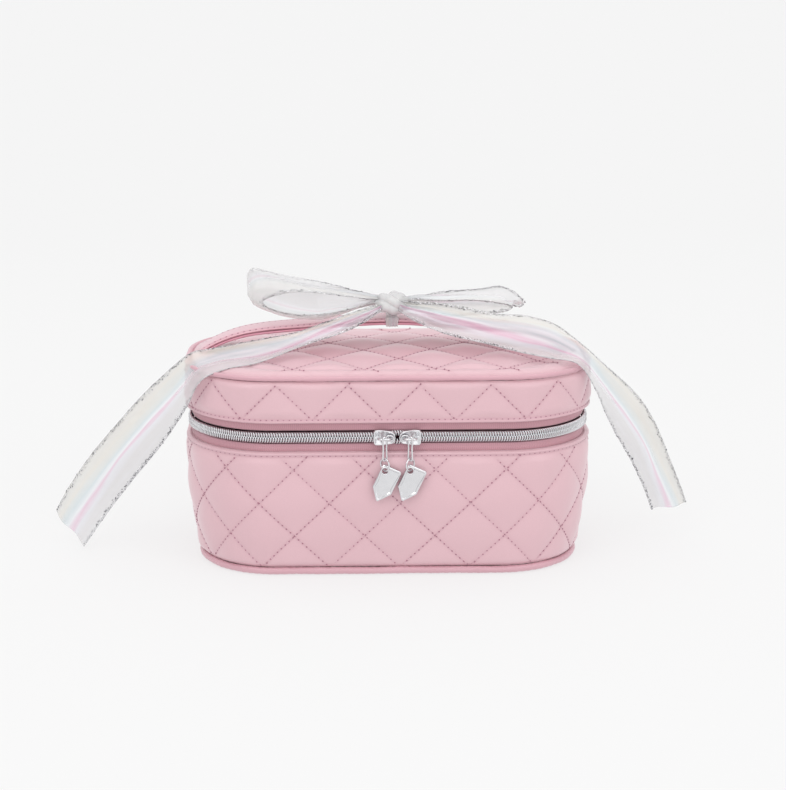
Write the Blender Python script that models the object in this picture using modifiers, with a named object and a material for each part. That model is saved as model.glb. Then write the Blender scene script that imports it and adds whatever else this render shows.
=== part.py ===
"""A quilted makeup bag: a base and a hinged lid joined by a two-way zip, a strap handle and a ribbon bow.

Metres, +Z up. The origin is the middle of the underside, and the front of the bag faces -Y.
"""

import math

import bmesh
import bpy
from mathutils import Vector

# ---- driving dimensions
BAG_WIDTH = 0.220  # over the walls, along X
BAG_DEPTH = 0.122  # over the walls, along Y
CORNER_RADIUS = 0.050  # of the plan's corners
BASE_WALL_TOP = 0.070  # height of the base wall's folded edge
ZIP_REVEAL = 0.0155  # tape and teeth that show between the two walls
LID_WALL_HEIGHT = 0.0205
UNDERSIDE_INSET = 0.006  # how far the base wall draws in at the bottom
ZIP_RETURN = 0.010  # how far the zip runs along the back past each corner
PANEL_RISE = 0.005  # crown of the padded top panel

WALL = 0.0030  # quilted skin with its wadding
TAPE = 0.0008
FOAM = 0.0018
LINING = 0.0008
BOARD = 0.0018
PANEL = 0.0025
HINGE_STRIP = 0.0014
PIPING_RADIUS = 0.0020
GAP = 0.0003  # clearance between pieces that touch

COIL_THICKNESS = 0.0026
COIL_HEIGHT = 0.0029  # of one side's teeth
COIL_SPLIT = 0.0012  # between the two sides' teeth
TAPE_HELD = 0.0070  # width of tape behind the wall

SLIDER_LENGTH = 0.0117
SLIDER_HEIGHT = 0.0080
SLIDER_PLATE = 0.0012
SLIDERS_MEET = 0.0037  # X of the place where the two sliders meet
SLIDER_SPACE = 0.0016  # between the two sliders
BRIDGE_WIRE = 0.0006  # radius of the slider's bridge
BRIDGE_LENGTH = 0.0070
BRIDGE_REACH = 0.0034  # of the bridge's bar in front of the plate

LINK_WIRE = 0.00045  # radius
LINK_HEIGHT = 0.0128  # between the centres of its top and bottom wire
LINK_WIDTH = 0.0036
LINK_TWIST = math.radians(38)  # of the right link's plane from the bag's face; the left one mirrors it
RING_WIRE = 0.00045
RING_RADIUS = 0.0033
RING_TWIST = math.radians(-50)
TAG_WIDTH = 0.0110
TAG_LENGTH = 0.0200
TAG_THICKNESS = 0.0015
TAG_HOLE = 0.00155  # radius
TAG_LEAN = math.radians(25)  # hung by a top corner
TAG_HOLE_ACROSS = -0.0031
TAG_HOLE_ALONG = 0.0068

HANDLE_WIDTH = 0.021
HANDLE_LAYER = 0.0014
HANDLE_CLEAR = 0.0208  # height of the arch over the top piping's centre
HANDLE_END_INSET = 0.0090  # of its sewn ends from the bag's sides
HANDLE_FLATNESS = 3.6  # a higher power makes the arch flatter on top

RIBBON = 0.0008
TAIL_SPLIT = 0.0012  # how far beside the lid each tail's fall begins
KNOT_X = 0.0030
KNOT_LENGTH = 0.0180
KNOT_WALL = 0.0028
KNOT_CROWN = 0.0120

ARC_STEPS = 8
RIBBON_STEPS = 5  # rows between two of a ribbon's chosen points

# ---- places that follow from them
HALF_W = BAG_WIDTH / 2
HALF_D = BAG_DEPTH / 2
STRAIGHT_X = HALF_W - CORNER_RADIUS
STRAIGHT_Y = HALF_D - CORNER_RADIUS
HINGE_HALF = STRAIGHT_X - ZIP_RETURN
BOTTOM_PIPING_Z = GAP + PIPING_RADIUS
BASE_WALL_BOTTOM = BOTTOM_PIPING_Z + PIPING_RADIUS + GAP
LID_WALL_BOTTOM = BASE_WALL_TOP + ZIP_REVEAL
LID_WALL_TOP = LID_WALL_BOTTOM + LID_WALL_HEIGHT
ZIP_Z = BASE_WALL_TOP + ZIP_REVEAL / 2
TOP_PIPING_Z = LID_WALL_TOP + GAP + PIPING_RADIUS
PIPING_INSET = 0.6 * PIPING_RADIUS
PANEL_INSET = PIPING_INSET + PIPING_RADIUS + GAP
PANEL_UNDERSIDE = LID_WALL_TOP + GAP
PANEL_EDGE = TOP_PIPING_Z + 0.0004
BEHIND_WALL = WALL + GAP
BEHIND_TAPE = BEHIND_WALL + max(TAPE, FOAM) + GAP
COIL_INSET = BEHIND_WALL + TAPE - COIL_THICKNESS  # of the teeth's outer face behind the wall's face
TAPE_EDGE = COIL_SPLIT / 2 + COIL_HEIGHT + GAP  # of a tape from the zip's centre line
BAR_Y = -HALF_D - BRIDGE_REACH
LINK_TOP = ZIP_Z + BRIDGE_WIRE + LINK_WIRE + GAP
LINK_BOTTOM = LINK_TOP - LINK_HEIGHT
RING_CENTRE = LINK_BOTTOM + LINK_WIRE + RING_WIRE + GAP - RING_RADIUS
TAG_HANG = RING_CENTRE - RING_RADIUS
HANDLE_END = HALF_W - HANDLE_END_INSET
HANDLE_TOP = TOP_PIPING_Z + HANDLE_CLEAR
SLIDER_X = {
    "left": SLIDERS_MEET - (SLIDER_SPACE + SLIDER_LENGTH) / 2,
    "right": SLIDERS_MEET + (SLIDER_SPACE + SLIDER_LENGTH) / 2,
}
SIDE = {"left": -1, "right": 1}


# ---- scene and finishes
for old in list(bpy.data.objects):
    bpy.data.objects.remove(old, do_unlink=True)

parts = bpy.data.collections.new("makeup_bag")
cutters = bpy.data.collections.new("cutters")
for collection in (parts, cutters):
    bpy.context.scene.collection.children.link(collection)
cutters.hide_render = True


def finish(name, colour, roughness, metallic=0.0):
    """A plain Principled finish."""
    material = bpy.data.materials.new(name)
    material.use_nodes = True
    shader = material.node_tree.nodes["Principled BSDF"]
    shader.inputs["Base Color"].default_value = (*colour, 1.0)
    shader.inputs["Roughness"].default_value = roughness
    shader.inputs["Metallic"].default_value = metallic
    return material


QUILTED = finish("quilted_pink", (0.90, 0.55, 0.66), 0.38)
PIPED = finish("piping_pink", (0.84, 0.45, 0.57), 0.40)
TAPED = finish("zip_tape_pink", (0.72, 0.40, 0.50), 0.85)
SILVER = finish("silver", (0.78, 0.78, 0.80), 0.22, 1.0)
RIBBON_FINISH = finish("pearl_ribbon", (0.90, 0.88, 0.93), 0.25)
LINED = finish("lining_pink", (0.88, 0.66, 0.72), 0.75)
PADDED = finish("foam_white", (0.90, 0.90, 0.88), 0.90)
STIFFENED = finish("stiffener", (0.70, 0.66, 0.60), 0.90)


# ---- tools
def place(name, mesh, material, collection=parts):
    """An object for the mesh, in its collection and finish."""
    part = bpy.data.objects.new(name, mesh)
    collection.objects.link(part)
    part.data.materials.append(material)
    if collection is cutters:
        part.display_type = "WIRE"
        part.hide_render = True
    return part


def loft(name, rings, material, closed=True, capped=(False, False)):
    """A surface through rings of equally many points; capped fills the first and the last ring."""
    bm = bmesh.new()
    rows = [[bm.verts.new(point) for point in ring] for ring in rings]
    count = len(rows[0])
    for lower, upper in zip(rows, rows[1:]):
        for i in range(count if closed else count - 1):
            j = (i + 1) % count
            bm.faces.new((lower[i], lower[j], upper[j], upper[i]))
    if capped[0]:
        bm.faces.new(list(reversed(rows[0])))
    if capped[1]:
        bm.faces.new(rows[-1])
    mesh = bpy.data.meshes.new(name)
    bm.to_mesh(mesh)
    bm.free()
    mesh.shade_smooth()
    mesh.set_sharp_from_angle(angle=math.radians(40))
    return place(name, mesh, material)


def thicken(part, thickness, offset=-1.0):
    """A sheet of real thickness; offset -1 grows it away from the faces' normals."""
    solid = part.modifiers.new("thickness", "SOLIDIFY")
    solid.thickness = thickness
    solid.offset = offset
    solid.use_even_offset = True
    return part


def plan(inset):
    """The plan drawn in by inset, from the back left round the front to the back right."""
    radius = CORNER_RADIUS - inset
    points = [(-HINGE_HALF, HALF_D - inset)]
    for side_x, side_y, start in ((-1, 1, 90), (-1, -1, 180), (1, -1, 270), (1, 1, 0)):
        for step in range(ARC_STEPS + 1):
            angle = math.radians(start + 90 * step / ARC_STEPS)
            x = side_x * STRAIGHT_X + radius * math.cos(angle)
            y = side_y * STRAIGHT_Y + radius * math.sin(angle)
            points.append((x, y))
    points.append((HINGE_HALF, HALF_D - inset))
    return points


def ring_at(inset, z, share=1.0):
    """The plan as a ring of points at height z, scaled by share about its middle."""
    return [(x * share, y * share, z) for x, y in plan(inset)]


def wall_inset(z):
    """How far the base wall is drawn in at height z: most at the bottom, rounding out to nothing."""
    share = (z - BASE_WALL_BOTTOM) / (BASE_WALL_TOP - BASE_WALL_BOTTOM)
    return UNDERSIDE_INSET * (1 - min(max(share, 0), 1)) ** 2.2


def wall_rings(low, high, layer, steps=5):
    """Rings that follow the base wall between two heights, a layer behind its face."""
    heights = [low + (high - low) * (step / steps) ** 1.6 for step in range(steps + 1)]
    return [ring_at(wall_inset(z) + layer, z) for z in heights]


def tube(name, points, radius, material, cyclic=False, collection=parts):
    """A round tube along the points, as a curve with filled ends."""
    curve = bpy.data.curves.new(name, "CURVE")
    curve.dimensions = "3D"
    curve.bevel_depth = radius
    curve.bevel_resolution = 2
    curve.use_fill_caps = not cyclic
    spline = curve.splines.new("POLY")
    spline.points.add(len(points) - 1)
    for spot, point in zip(spline.points, points):
        spot.co = (*point, 1.0)
    spline.use_cyclic_u = cyclic
    return place(name, curve, material, collection)


def block(name, low, high, material, collection=parts, bevel=0.0):
    """A box between two corners, with rounded edges where bevel is set."""
    bm = bmesh.new()
    bmesh.ops.create_cube(bm, size=1.0)
    low, high = Vector(low), Vector(high)
    bmesh.ops.scale(bm, vec=high - low, verts=bm.verts)
    bmesh.ops.translate(bm, vec=(low + high) / 2, verts=bm.verts)
    mesh = bpy.data.meshes.new(name)
    bm.to_mesh(mesh)
    bm.free()
    part = place(name, mesh, material, collection)
    if bevel:
        rounding = part.modifiers.new("rounding", "BEVEL")
        rounding.width = bevel
        rounding.segments = 2
    return part


def as_mesh(curve_object):
    """The curve as a mesh object with welded caps, which a Boolean can use; the curve is removed."""
    bpy.context.view_layer.update()
    graph = bpy.context.evaluated_depsgraph_get()
    mesh = bpy.data.meshes.new_from_object(curve_object.evaluated_get(graph))
    bm = bmesh.new()
    bm.from_mesh(mesh)
    bmesh.ops.remove_doubles(bm, verts=bm.verts, dist=0.00001)
    bm.to_mesh(mesh)
    bm.free()
    solid = bpy.data.objects.new(curve_object.name + "_mesh", mesh)
    solid.matrix_world = curve_object.matrix_world
    cutters.objects.link(solid)
    solid.hide_render = True
    solid.display_type = "WIRE"
    bpy.data.objects.remove(curve_object)
    return solid


def combine(part, other, operation):
    """Adds other to the part, or cuts it away."""
    boolean = part.modifiers.new(operation.lower(), "BOOLEAN")
    boolean.operation = operation
    boolean.object = other
    return part


def set_origin(part, point):
    """Moves the origin of a part to the point, such as a place on its joint's axis."""
    for vertex in part.data.vertices:
        vertex.co -= Vector(point)
    part.location = point


def smooth_line(points, steps):
    """Points along a Catmull-Rom curve through the chosen points."""
    chosen = [Vector(point) for point in points]
    padded = [2 * chosen[0] - chosen[1], *chosen, 2 * chosen[-1] - chosen[-2]]
    line = []
    for a, b, c, d in zip(padded, padded[1:], padded[2:], padded[3:]):
        for step in range(steps):
            t = step / steps
            bend = (2 * a - 5 * b + 4 * c - d) * t**2 + (3 * b - a - 3 * c + d) * t**3
            line.append((2 * b + (c - a) * t + bend) / 2)
    line.append(chosen[-1])
    return line


# ---- base
bottom_piping_inset = UNDERSIDE_INSET + PIPING_INSET
bottom_inset = bottom_piping_inset + PIPING_RADIUS + GAP
tape_bottom = BASE_WALL_TOP - TAPE_HELD
board_bottom = PANEL + GAP
base_floor = board_bottom + BOARD + GAP

base_wall = loft("base_wall", wall_rings(BASE_WALL_BOTTOM, BASE_WALL_TOP, 0), QUILTED)
thicken(base_wall, WALL)
foam_rings = wall_rings(base_floor, tape_bottom - GAP, BEHIND_WALL)
thicken(loft("base_foam", foam_rings, PADDED), FOAM)
lining_rings = wall_rings(base_floor, BASE_WALL_TOP + 0.002, BEHIND_TAPE)
thicken(loft("base_lining", lining_rings, LINED, capped=(True, False)), LINING)

bottom_panel_rings = [ring_at(bottom_inset, 0), ring_at(bottom_inset, PANEL)]
loft("bottom_panel", bottom_panel_rings, QUILTED, capped=(True, True))
board_rings = [ring_at(bottom_inset, board_bottom), ring_at(bottom_inset, board_bottom + BOARD)]
loft("bottom_board", board_rings, STIFFENED, capped=(True, True))
bottom_line = ring_at(bottom_piping_inset, BOTTOM_PIPING_Z)
tube("bottom_piping", bottom_line, PIPING_RADIUS, PIPED, cyclic=True)


# ---- lid
lid_wall_rings = [ring_at(0, LID_WALL_BOTTOM), ring_at(0, LID_WALL_TOP)]
thicken(loft("lid_wall", lid_wall_rings, QUILTED), WALL)
tape_top = LID_WALL_BOTTOM + TAPE_HELD
lid_foam_rings = [
    ring_at(BEHIND_WALL, tape_top + GAP),
    ring_at(BEHIND_WALL, LID_WALL_TOP - BOARD - GAP),
]
thicken(loft("lid_wall_foam", lid_foam_rings, PADDED), FOAM)
top_line = ring_at(PIPING_INSET, TOP_PIPING_Z)
tube("top_piping", top_line, PIPING_RADIUS, PIPED, cyclic=True)

dome = [ring_at(PANEL_INSET, PANEL_UNDERSIDE), ring_at(PANEL_INSET, PANEL_EDGE)]
for share in (0.96, 0.88, 0.74, 0.52, 0.26):
    dome.append(ring_at(PANEL_INSET, PANEL_EDGE + PANEL_RISE * (1 - share**3), share))
loft("lid_top_panel", dome, QUILTED, capped=(True, True))

lid_board_top = LID_WALL_TOP
lid_board_inset = BEHIND_WALL
lid_board_rings = [
    ring_at(lid_board_inset, lid_board_top - BOARD),
    ring_at(lid_board_inset, lid_board_top),
]
loft("lid_board", lid_board_rings, STIFFENED, capped=(True, True))
lid_lining_rings = [
    ring_at(BEHIND_TAPE, LID_WALL_BOTTOM - 0.002),
    ring_at(BEHIND_TAPE, LID_WALL_TOP - BOARD - GAP),
]
thicken(loft("lid_lining", lid_lining_rings, LINED, capped=(False, True)), LINING)


# ---- zip: each side's tape and teeth run from one end of the hinge strip round to the other
def zip_side(name, low, high, inset, thickness, material):
    """One strip of the zip, an open band between two heights."""
    band = loft(name, [ring_at(inset, low), ring_at(inset, high)], material, closed=False)
    return thicken(band, thickness)


half_split = COIL_SPLIT / 2
zip_side("base_zip_tape", tape_bottom, ZIP_Z - TAPE_EDGE, BEHIND_WALL, TAPE, TAPED)
zip_side("lid_zip_tape", ZIP_Z + TAPE_EDGE, tape_top, BEHIND_WALL, TAPE, TAPED)
coil = (COIL_INSET, COIL_THICKNESS, SILVER)
zip_side("base_zip_teeth", ZIP_Z - half_split - COIL_HEIGHT, ZIP_Z - half_split, *coil)
zip_side("lid_zip_teeth", ZIP_Z + half_split, ZIP_Z + half_split + COIL_HEIGHT, *coil)

hinge_half = HINGE_HALF - GAP
strip_y = HALF_D - 0.0006
strip_low = BASE_WALL_TOP + GAP
strip_high = LID_WALL_BOTTOM - GAP
strip_rows = [
    [(hinge_half, strip_y, z), (-hinge_half, strip_y, z)] for z in (strip_low, strip_high)
]
thicken(loft("rear_hinge_strip", strip_rows, QUILTED, closed=False), HINGE_STRIP)


# ---- handle: two layers of strap in a flat-topped arch, sewn in at the lid's two sides
def arch_height(x):
    """Height of the strap's underside over the lid at x."""
    panel_half = HALF_W - PANEL_INSET
    seat = PANEL_EDGE + PANEL_RISE * (1 - (HANDLE_END / panel_half) ** 3) + 0.0012
    return seat + (HANDLE_TOP - seat) * (1 - (abs(x) / HANDLE_END) ** HANDLE_FLATNESS)


def strap_layer(name, lift, material):
    """One layer of the strap, lift above the arch's underside."""
    steps = 26
    rows = []
    for step in range(steps + 1):
        # The points crowd towards the two ends, where the strap turns down.
        x = -HANDLE_END * math.cos(math.pi * step / steps)
        z = arch_height(x) + lift
        rows.append([(x, HANDLE_WIDTH / 2, z), (x, -HANDLE_WIDTH / 2, z)])
    return thicken(loft(name, rows, material, closed=False), HANDLE_LAYER, offset=1.0)


strap_layer("handle_backing", 0, PIPED)
strap_layer("handle_strap", HANDLE_LAYER + 2 * GAP, QUILTED)
STRAP_LOW = HANDLE_TOP
STRAP_HIGH = HANDLE_TOP + 2 * HANDLE_LAYER + 2 * GAP


# ---- bow: a knot round the strap, two loops and two tails
knot_low = STRAP_LOW - GAP - KNOT_WALL
knot_high = STRAP_HIGH + GAP + KNOT_CROWN
knot_half_y = HANDLE_WIDTH / 2 + GAP + KNOT_WALL
knot_left = KNOT_X - KNOT_LENGTH / 2
knot_right = KNOT_X + KNOT_LENGTH / 2
bow_knot = block(
    "bow_knot",
    (knot_left, -knot_half_y, knot_low),
    (knot_right, knot_half_y, knot_high),
    RIBBON_FINISH,
)
strap_slot = block(
    "strap_slot",
    (knot_left - 0.01, -HANDLE_WIDTH / 2 - GAP, STRAP_LOW - GAP),
    (knot_right + 0.01, HANDLE_WIDTH / 2 + GAP, STRAP_HIGH + GAP),
    RIBBON_FINISH,
    cutters,
)
combine(bow_knot, strap_slot, "DIFFERENCE")


def ribbon(name, first_edge, second_edge):
    """A length of ribbon between two edges, each a smooth line through its chosen points."""
    edges = [smooth_line(edge, RIBBON_STEPS) for edge in (first_edge, second_edge)]
    return thicken(loft(name, edges, RIBBON_FINISH, closed=False), RIBBON, offset=0.0)


def by_knot(side, away, y, over_strap):
    """A point of a loop: away from the knot's end, and over the strap's top."""
    start = knot_left if side < 0 else knot_right
    return (start + side * away, y, STRAP_HIGH + over_strap)


def loop_points(side, rows):
    """The two edges of a loop, from rows of (away, y, height of the low edge, of the high edge)."""
    low = [by_knot(side, away, y, z) for away, y, z, _ in rows]
    high = [by_knot(side, away, y, z) for away, y, _, z in rows]
    return low, high


LEFT_LOOP = (
    (0.0006, -0.0060, 0.0015, 0.0090),
    (0.0200, -0.0120, 0.0012, 0.0150),
    (0.0420, -0.0135, 0.0012, 0.0190),
    (0.0620, -0.0100, 0.0012, 0.0225),
    (0.0710, -0.0010, 0.0012, 0.0235),
    (0.0620, 0.0080, 0.0012, 0.0200),
    (0.0400, 0.0115, 0.0012, 0.0160),
    (0.0200, 0.0095, 0.0012, 0.0130),
    (0.0006, 0.0040, 0.0015, 0.0090),
)
RIGHT_LOOP = (
    (0.0006, -0.0060, 0.0015, 0.0085),
    (0.0200, -0.0115, 0.0012, 0.0110),
    (0.0420, -0.0115, 0.0012, 0.0115),
    (0.0560, -0.0075, 0.0012, 0.0112),
    (0.0605, 0.0000, 0.0012, 0.0112),
    (0.0550, 0.0070, 0.0012, 0.0115),
    (0.0400, 0.0095, 0.0012, 0.0118),
    (0.0200, 0.0085, 0.0012, 0.0110),
    (0.0006, 0.0040, 0.0015, 0.0085),
)
for side_name, rows in (("left", LEFT_LOOP), ("right", RIGHT_LOOP)):
    ribbon("bow_loop_" + side_name, *loop_points(SIDE[side_name], rows))


def over_lid(side, across, along, rise):
    """A point over the lid: across is the share of the way from the knot to the bag's side, along the
    share of the half depth, and rise the height over the top piping."""
    start = knot_left if side < 0 else knot_right
    return (start + across * (side * HALF_W - start), along * HALF_D, TOP_PIPING_Z + PIPING_RADIUS + rise)


def over_corner(side, reach, turn, rise):
    """A point over the rounded front corner: reach past its edge, turn in degrees from the bag's side
    towards its front, and rise over the top piping."""
    radius = CORNER_RADIUS + PIPING_RADIUS + reach
    x = STRAIGHT_X + radius * math.cos(math.radians(turn))
    y = -STRAIGHT_Y - radius * math.sin(math.radians(turn))
    return (side * x, y, TOP_PIPING_Z + PIPING_RADIUS + rise)


def beside_bag(side, away, forward, height):
    """A point beside the bag: away from its side, forward of the corner's start in corner radii, and
    its height as a share of the top piping's."""
    return (side * (HALF_W + away), -STRAIGHT_Y - forward * CORNER_RADIUS, height * TOP_PIPING_Z)


def tail_points(side, tied, over, corner, split):
    """One edge of a tail, from the knot over the lid and its corner to where it leaves the bag. tied is
    how far forward it starts, in half knots, and how far below the strap's top."""
    start = (knot_left if side < 0 else knot_right) + side * 0.0008
    forward, below = tied
    return [
        (start, -forward * knot_half_y, STRAP_HIGH - below),
        *[over_lid(side, *spot) for spot in over],
        over_corner(side, *corner),
        beside_bag(side, TAIL_SPLIT, *split),
    ]


def fall_points(side, split, beside):
    """One edge of the hanging end of a tail."""
    return [beside_bag(side, FALL_START, *split), *[beside_bag(side, *spot) for spot in beside]]


FALL_START = TAIL_SPLIT + 2 * GAP
LEFT_TAIL = (
    tail_points(
        -1,
        (0.91, 0.0022),
        ((0.228, -0.25, 0.0175), (0.450, -0.27, 0.0130), (0.683, -0.31, 0.0085),
         (0.852, -0.36, 0.0066)),
        (-0.0034, 17.1, 0.0050),
        (0.292, 1.035),
    ),
    tail_points(
        -1,
        (1.29, 0.0077),
        ((0.196, -0.43, 0.0140), (0.397, -0.56, 0.0090), (0.598, -0.69, 0.0048),
         (0.788, -0.785, 0.0034)),
        (0.0036, 44.8, -0.0030),
        (0.591, 0.790),
    ),
)
RIGHT_TAIL = (
    tail_points(
        1,
        (0.91, 0.0017),
        ((0.214, -0.235, 0.0220), (0.439, -0.240, 0.0210), (0.641, -0.26, 0.0185),
         (0.809, -0.30, 0.0130)),
        (-0.0062, 13.9, 0.0055),
        (0.225, 1.020),
    ),
    tail_points(
        1,
        (1.29, 0.0077),
        ((0.214, -0.42, 0.0140), (0.383, -0.50, 0.0110), (0.573, -0.60, 0.0075),
         (0.764, -0.67, 0.0042)),
        (0.0031, 35.1, 0.0014),
        (0.494, 0.865),
    ),
)
LEFT_FALL = (
    fall_points(
        -1,
        (0.292, 1.029),
        ((0.0130, 0.280, 0.935), (0.0310, 0.195, 0.765), (0.0510, 0.036, 0.560), (0.0670, -0.122, 0.345),
         (0.0775, -0.257, 0.190)),
    ),
    fall_points(
        -1,
        (0.585, 0.782),
        ((0.0085, 0.512, 0.690), (0.0165, 0.414, 0.585), (0.0300, 0.237, 0.410), (0.0450, 0.048, 0.213),
         (0.0600, -0.122, 0.010)),
    ),
)
RIGHT_FALL = (
    fall_points(
        1,
        (0.223, 1.014),
        ((0.0085, 0.207, 0.970), (0.0240, 0.073, 0.835), (0.0430, -0.244, 0.560), (0.0600, -0.623, 0.250),
         (0.0660, -0.793, 0.115)),
    ),
    fall_points(
        1,
        (0.488, 0.857),
        ((0.0060, 0.414, 0.790), (0.0155, 0.244, 0.620), (0.0310, -0.159, 0.365), (0.0380, -0.342, 0.240),
         (0.0430, -0.513, 0.130)),
    ),
)
ribbon("bow_tail_left", *LEFT_TAIL)
ribbon("bow_tail_right", *RIGHT_TAIL)
TAIL_PIVOT = {
    "left": (Vector(LEFT_FALL[0][0]) + Vector(LEFT_FALL[1][0])) / 2,
    "right": (Vector(RIGHT_FALL[0][0]) + Vector(RIGHT_FALL[1][0])) / 2,
}
for side_name, edges in (("left", LEFT_FALL), ("right", RIGHT_FALL)):
    fall = ribbon("tail_fall_" + side_name, *edges)
    set_origin(fall, TAIL_PIVOT[side_name])


# ---- sliders with their pulls, each chained from the slider's bridge
def slider(side_name):
    """A slider: front and back plates, the divider between the teeth, and the bridge for the pull."""
    centre = SLIDER_X[side_name]
    side = SIDE[side_name]
    half_height = SLIDER_HEIGHT / 2
    front = -HALF_D
    back = front + COIL_INSET + COIL_THICKNESS + GAP
    low_x, high_x = centre - SLIDER_LENGTH / 2, centre + SLIDER_LENGTH / 2
    body = block(
        "zip_slider_" + side_name,
        (low_x, front, ZIP_Z - half_height),
        (high_x, front + SLIDER_PLATE, ZIP_Z + half_height),
        SILVER,
    )
    back_plate = block(
        "back_plate_" + side_name,
        (low_x, back, ZIP_Z - half_height),
        (high_x, back + SLIDER_PLATE - 0.0002, ZIP_Z + half_height),
        SILVER,
        cutters,
    )
    divider_x = centre - side * (SLIDER_LENGTH / 2 - 0.003)
    divider = block(
        "divider_" + side_name,
        (divider_x - 0.0018, front + SLIDER_PLATE / 2, ZIP_Z - half_split + GAP),
        (divider_x + 0.0018, back + SLIDER_PLATE / 2, ZIP_Z + half_split - GAP),
        SILVER,
        cutters,
    )
    reach = BRIDGE_LENGTH / 2
    foot = front + SLIDER_PLATE / 2
    knee = BAR_Y + 0.0010
    bridge_line = [
        (centre - reach, foot, ZIP_Z),
        (centre - reach, knee, ZIP_Z),
        (centre - reach + 0.0010, BAR_Y, ZIP_Z),
        (centre + reach - 0.0010, BAR_Y, ZIP_Z),
        (centre + reach, knee, ZIP_Z),
        (centre + reach, foot, ZIP_Z),
    ]
    bridge = as_mesh(tube("bridge_" + side_name, bridge_line, BRIDGE_WIRE, SILVER, collection=cutters))
    for other in (back_plate, divider, bridge):
        combine(body, other, "UNION")
    return body


def wire_loop(name, centre, twist, half_height, half_width, radius, steps):
    """A closed wire: two half circles and the straight sides between them, twisted about Z."""
    across = Vector((math.cos(twist), math.sin(twist), 0))
    points = []
    for end, start in ((1, 0), (-1, 180)):
        for step in range(steps + 1):
            angle = math.radians(start + 180 * step / steps)
            rise = end * (half_height - half_width) + half_width * math.sin(angle)
            points.append(half_width * math.cos(angle) * across + Vector((0, 0, rise)))
    if half_height - half_width < 1e-6:
        del points[steps]
        points.pop()
    loop = tube(name, points, radius, SILVER, cyclic=True)
    loop.location = centre
    return loop


def tag(name, centre):
    """A plain pointed tag with bevelled edges and a hole in its top corner, leaning as it hangs."""
    outline = [
        (-0.50, 0.38), (-0.40, 0.50), (0.40, 0.50), (0.50, 0.38),
        (0.50, -0.28), (0.00, -0.50), (-0.50, -0.28),
    ]
    curve = bpy.data.curves.new(name, "CURVE")
    curve.dimensions = "2D"
    curve.fill_mode = "BOTH"
    curve.extrude = TAG_THICKNESS / 2
    spline = curve.splines.new("POLY")
    spline.points.add(len(outline) - 1)
    for spot, (across, along) in zip(spline.points, outline):
        spot.co = (across * TAG_WIDTH, along * TAG_LENGTH, 0, 1)
    spline.use_cyclic_u = True
    hole = curve.splines.new("POLY")
    sides = 12
    hole.points.add(sides - 1)
    for step, spot in enumerate(hole.points):
        angle = 2 * math.pi * step / sides
        x = TAG_HOLE_ACROSS + TAG_HOLE * math.cos(angle)
        y = TAG_HOLE_ALONG + TAG_HOLE * math.sin(angle)
        spot.co = (x, y, 0, 1)
    hole.use_cyclic_u = True
    plate = place(name, curve, SILVER)
    plate.rotation_euler = (math.pi / 2, TAG_LEAN, 0)
    plate.location = centre
    return plate


for side_name, centre_x in SLIDER_X.items():
    slider(side_name)
    link_middle = (LINK_TOP + LINK_BOTTOM) / 2
    wire_loop(
        "pull_link_" + side_name,
        (centre_x, BAR_Y, link_middle),
        SIDE[side_name] * LINK_TWIST,
        LINK_HEIGHT / 2,
        LINK_WIDTH / 2,
        LINK_WIRE,
        6,
    )
    ring_place = (centre_x, BAR_Y, RING_CENTRE)
    wire_loop(
        "jump_ring_" + side_name,
        ring_place,
        SIDE[side_name] * RING_TWIST,
        RING_RADIUS,
        RING_RADIUS,
        RING_WIRE,
        12,
    )
    # The tag's middle, from the hole that the ring holds it by.
    back_x = TAG_HOLE_ACROSS * math.cos(TAG_LEAN) + TAG_HOLE_ALONG * math.sin(TAG_LEAN)
    back_z = TAG_HOLE_ALONG * math.cos(TAG_LEAN) - TAG_HOLE_ACROSS * math.sin(TAG_LEAN)
    tag("zip_tag_" + side_name, (centre_x - back_x, BAR_Y, TAG_HANG - back_z))
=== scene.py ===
"""Looks of a quilted makeup bag: satin walls, a silver coil zip, a strap handle and a sheer ribbon bow.

Metres, +Z up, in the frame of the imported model. The front of the bag faces -Y.
"""

import logging
import math
from collections.abc import Callable
from dataclasses import dataclass, field
from enum import Enum

import bmesh
import bpy
import numpy as np
from mathutils import Matrix, Vector


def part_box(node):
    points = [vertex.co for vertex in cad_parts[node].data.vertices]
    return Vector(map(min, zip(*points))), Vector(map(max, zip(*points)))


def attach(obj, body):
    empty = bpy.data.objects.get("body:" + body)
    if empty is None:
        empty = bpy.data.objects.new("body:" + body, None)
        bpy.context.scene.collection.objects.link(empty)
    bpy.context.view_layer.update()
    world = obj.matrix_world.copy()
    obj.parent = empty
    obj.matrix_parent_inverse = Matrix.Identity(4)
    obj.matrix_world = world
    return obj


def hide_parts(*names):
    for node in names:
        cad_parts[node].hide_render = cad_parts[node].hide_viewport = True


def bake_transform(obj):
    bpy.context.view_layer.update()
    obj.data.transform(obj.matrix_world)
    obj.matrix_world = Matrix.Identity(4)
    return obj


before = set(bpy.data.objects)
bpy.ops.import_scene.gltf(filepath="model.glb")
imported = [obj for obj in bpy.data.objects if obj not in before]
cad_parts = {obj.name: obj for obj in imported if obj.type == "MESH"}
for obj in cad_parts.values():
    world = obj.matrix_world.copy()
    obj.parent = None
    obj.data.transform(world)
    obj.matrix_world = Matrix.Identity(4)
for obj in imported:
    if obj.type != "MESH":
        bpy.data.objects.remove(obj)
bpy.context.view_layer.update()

LOG = logging.getLogger("makeup_bag")
MM = 0.001
STITCH = 0.0030
STRAP_STITCH = 0.0032
NEEDLE_GAP = 0.0009


# ---------------------------------------------------------------- small tools
def smooth(value: np.ndarray) -> np.ndarray:
    """Eases a value from 0 to 1, and holds it outside that range.

    Args:
        value: Any numbers.

    Returns:
        The eased numbers, from 0 to 1.
    """
    held = np.clip(value, 0.0, 1.0)
    return held * held * (3 - 2 * held)


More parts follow.
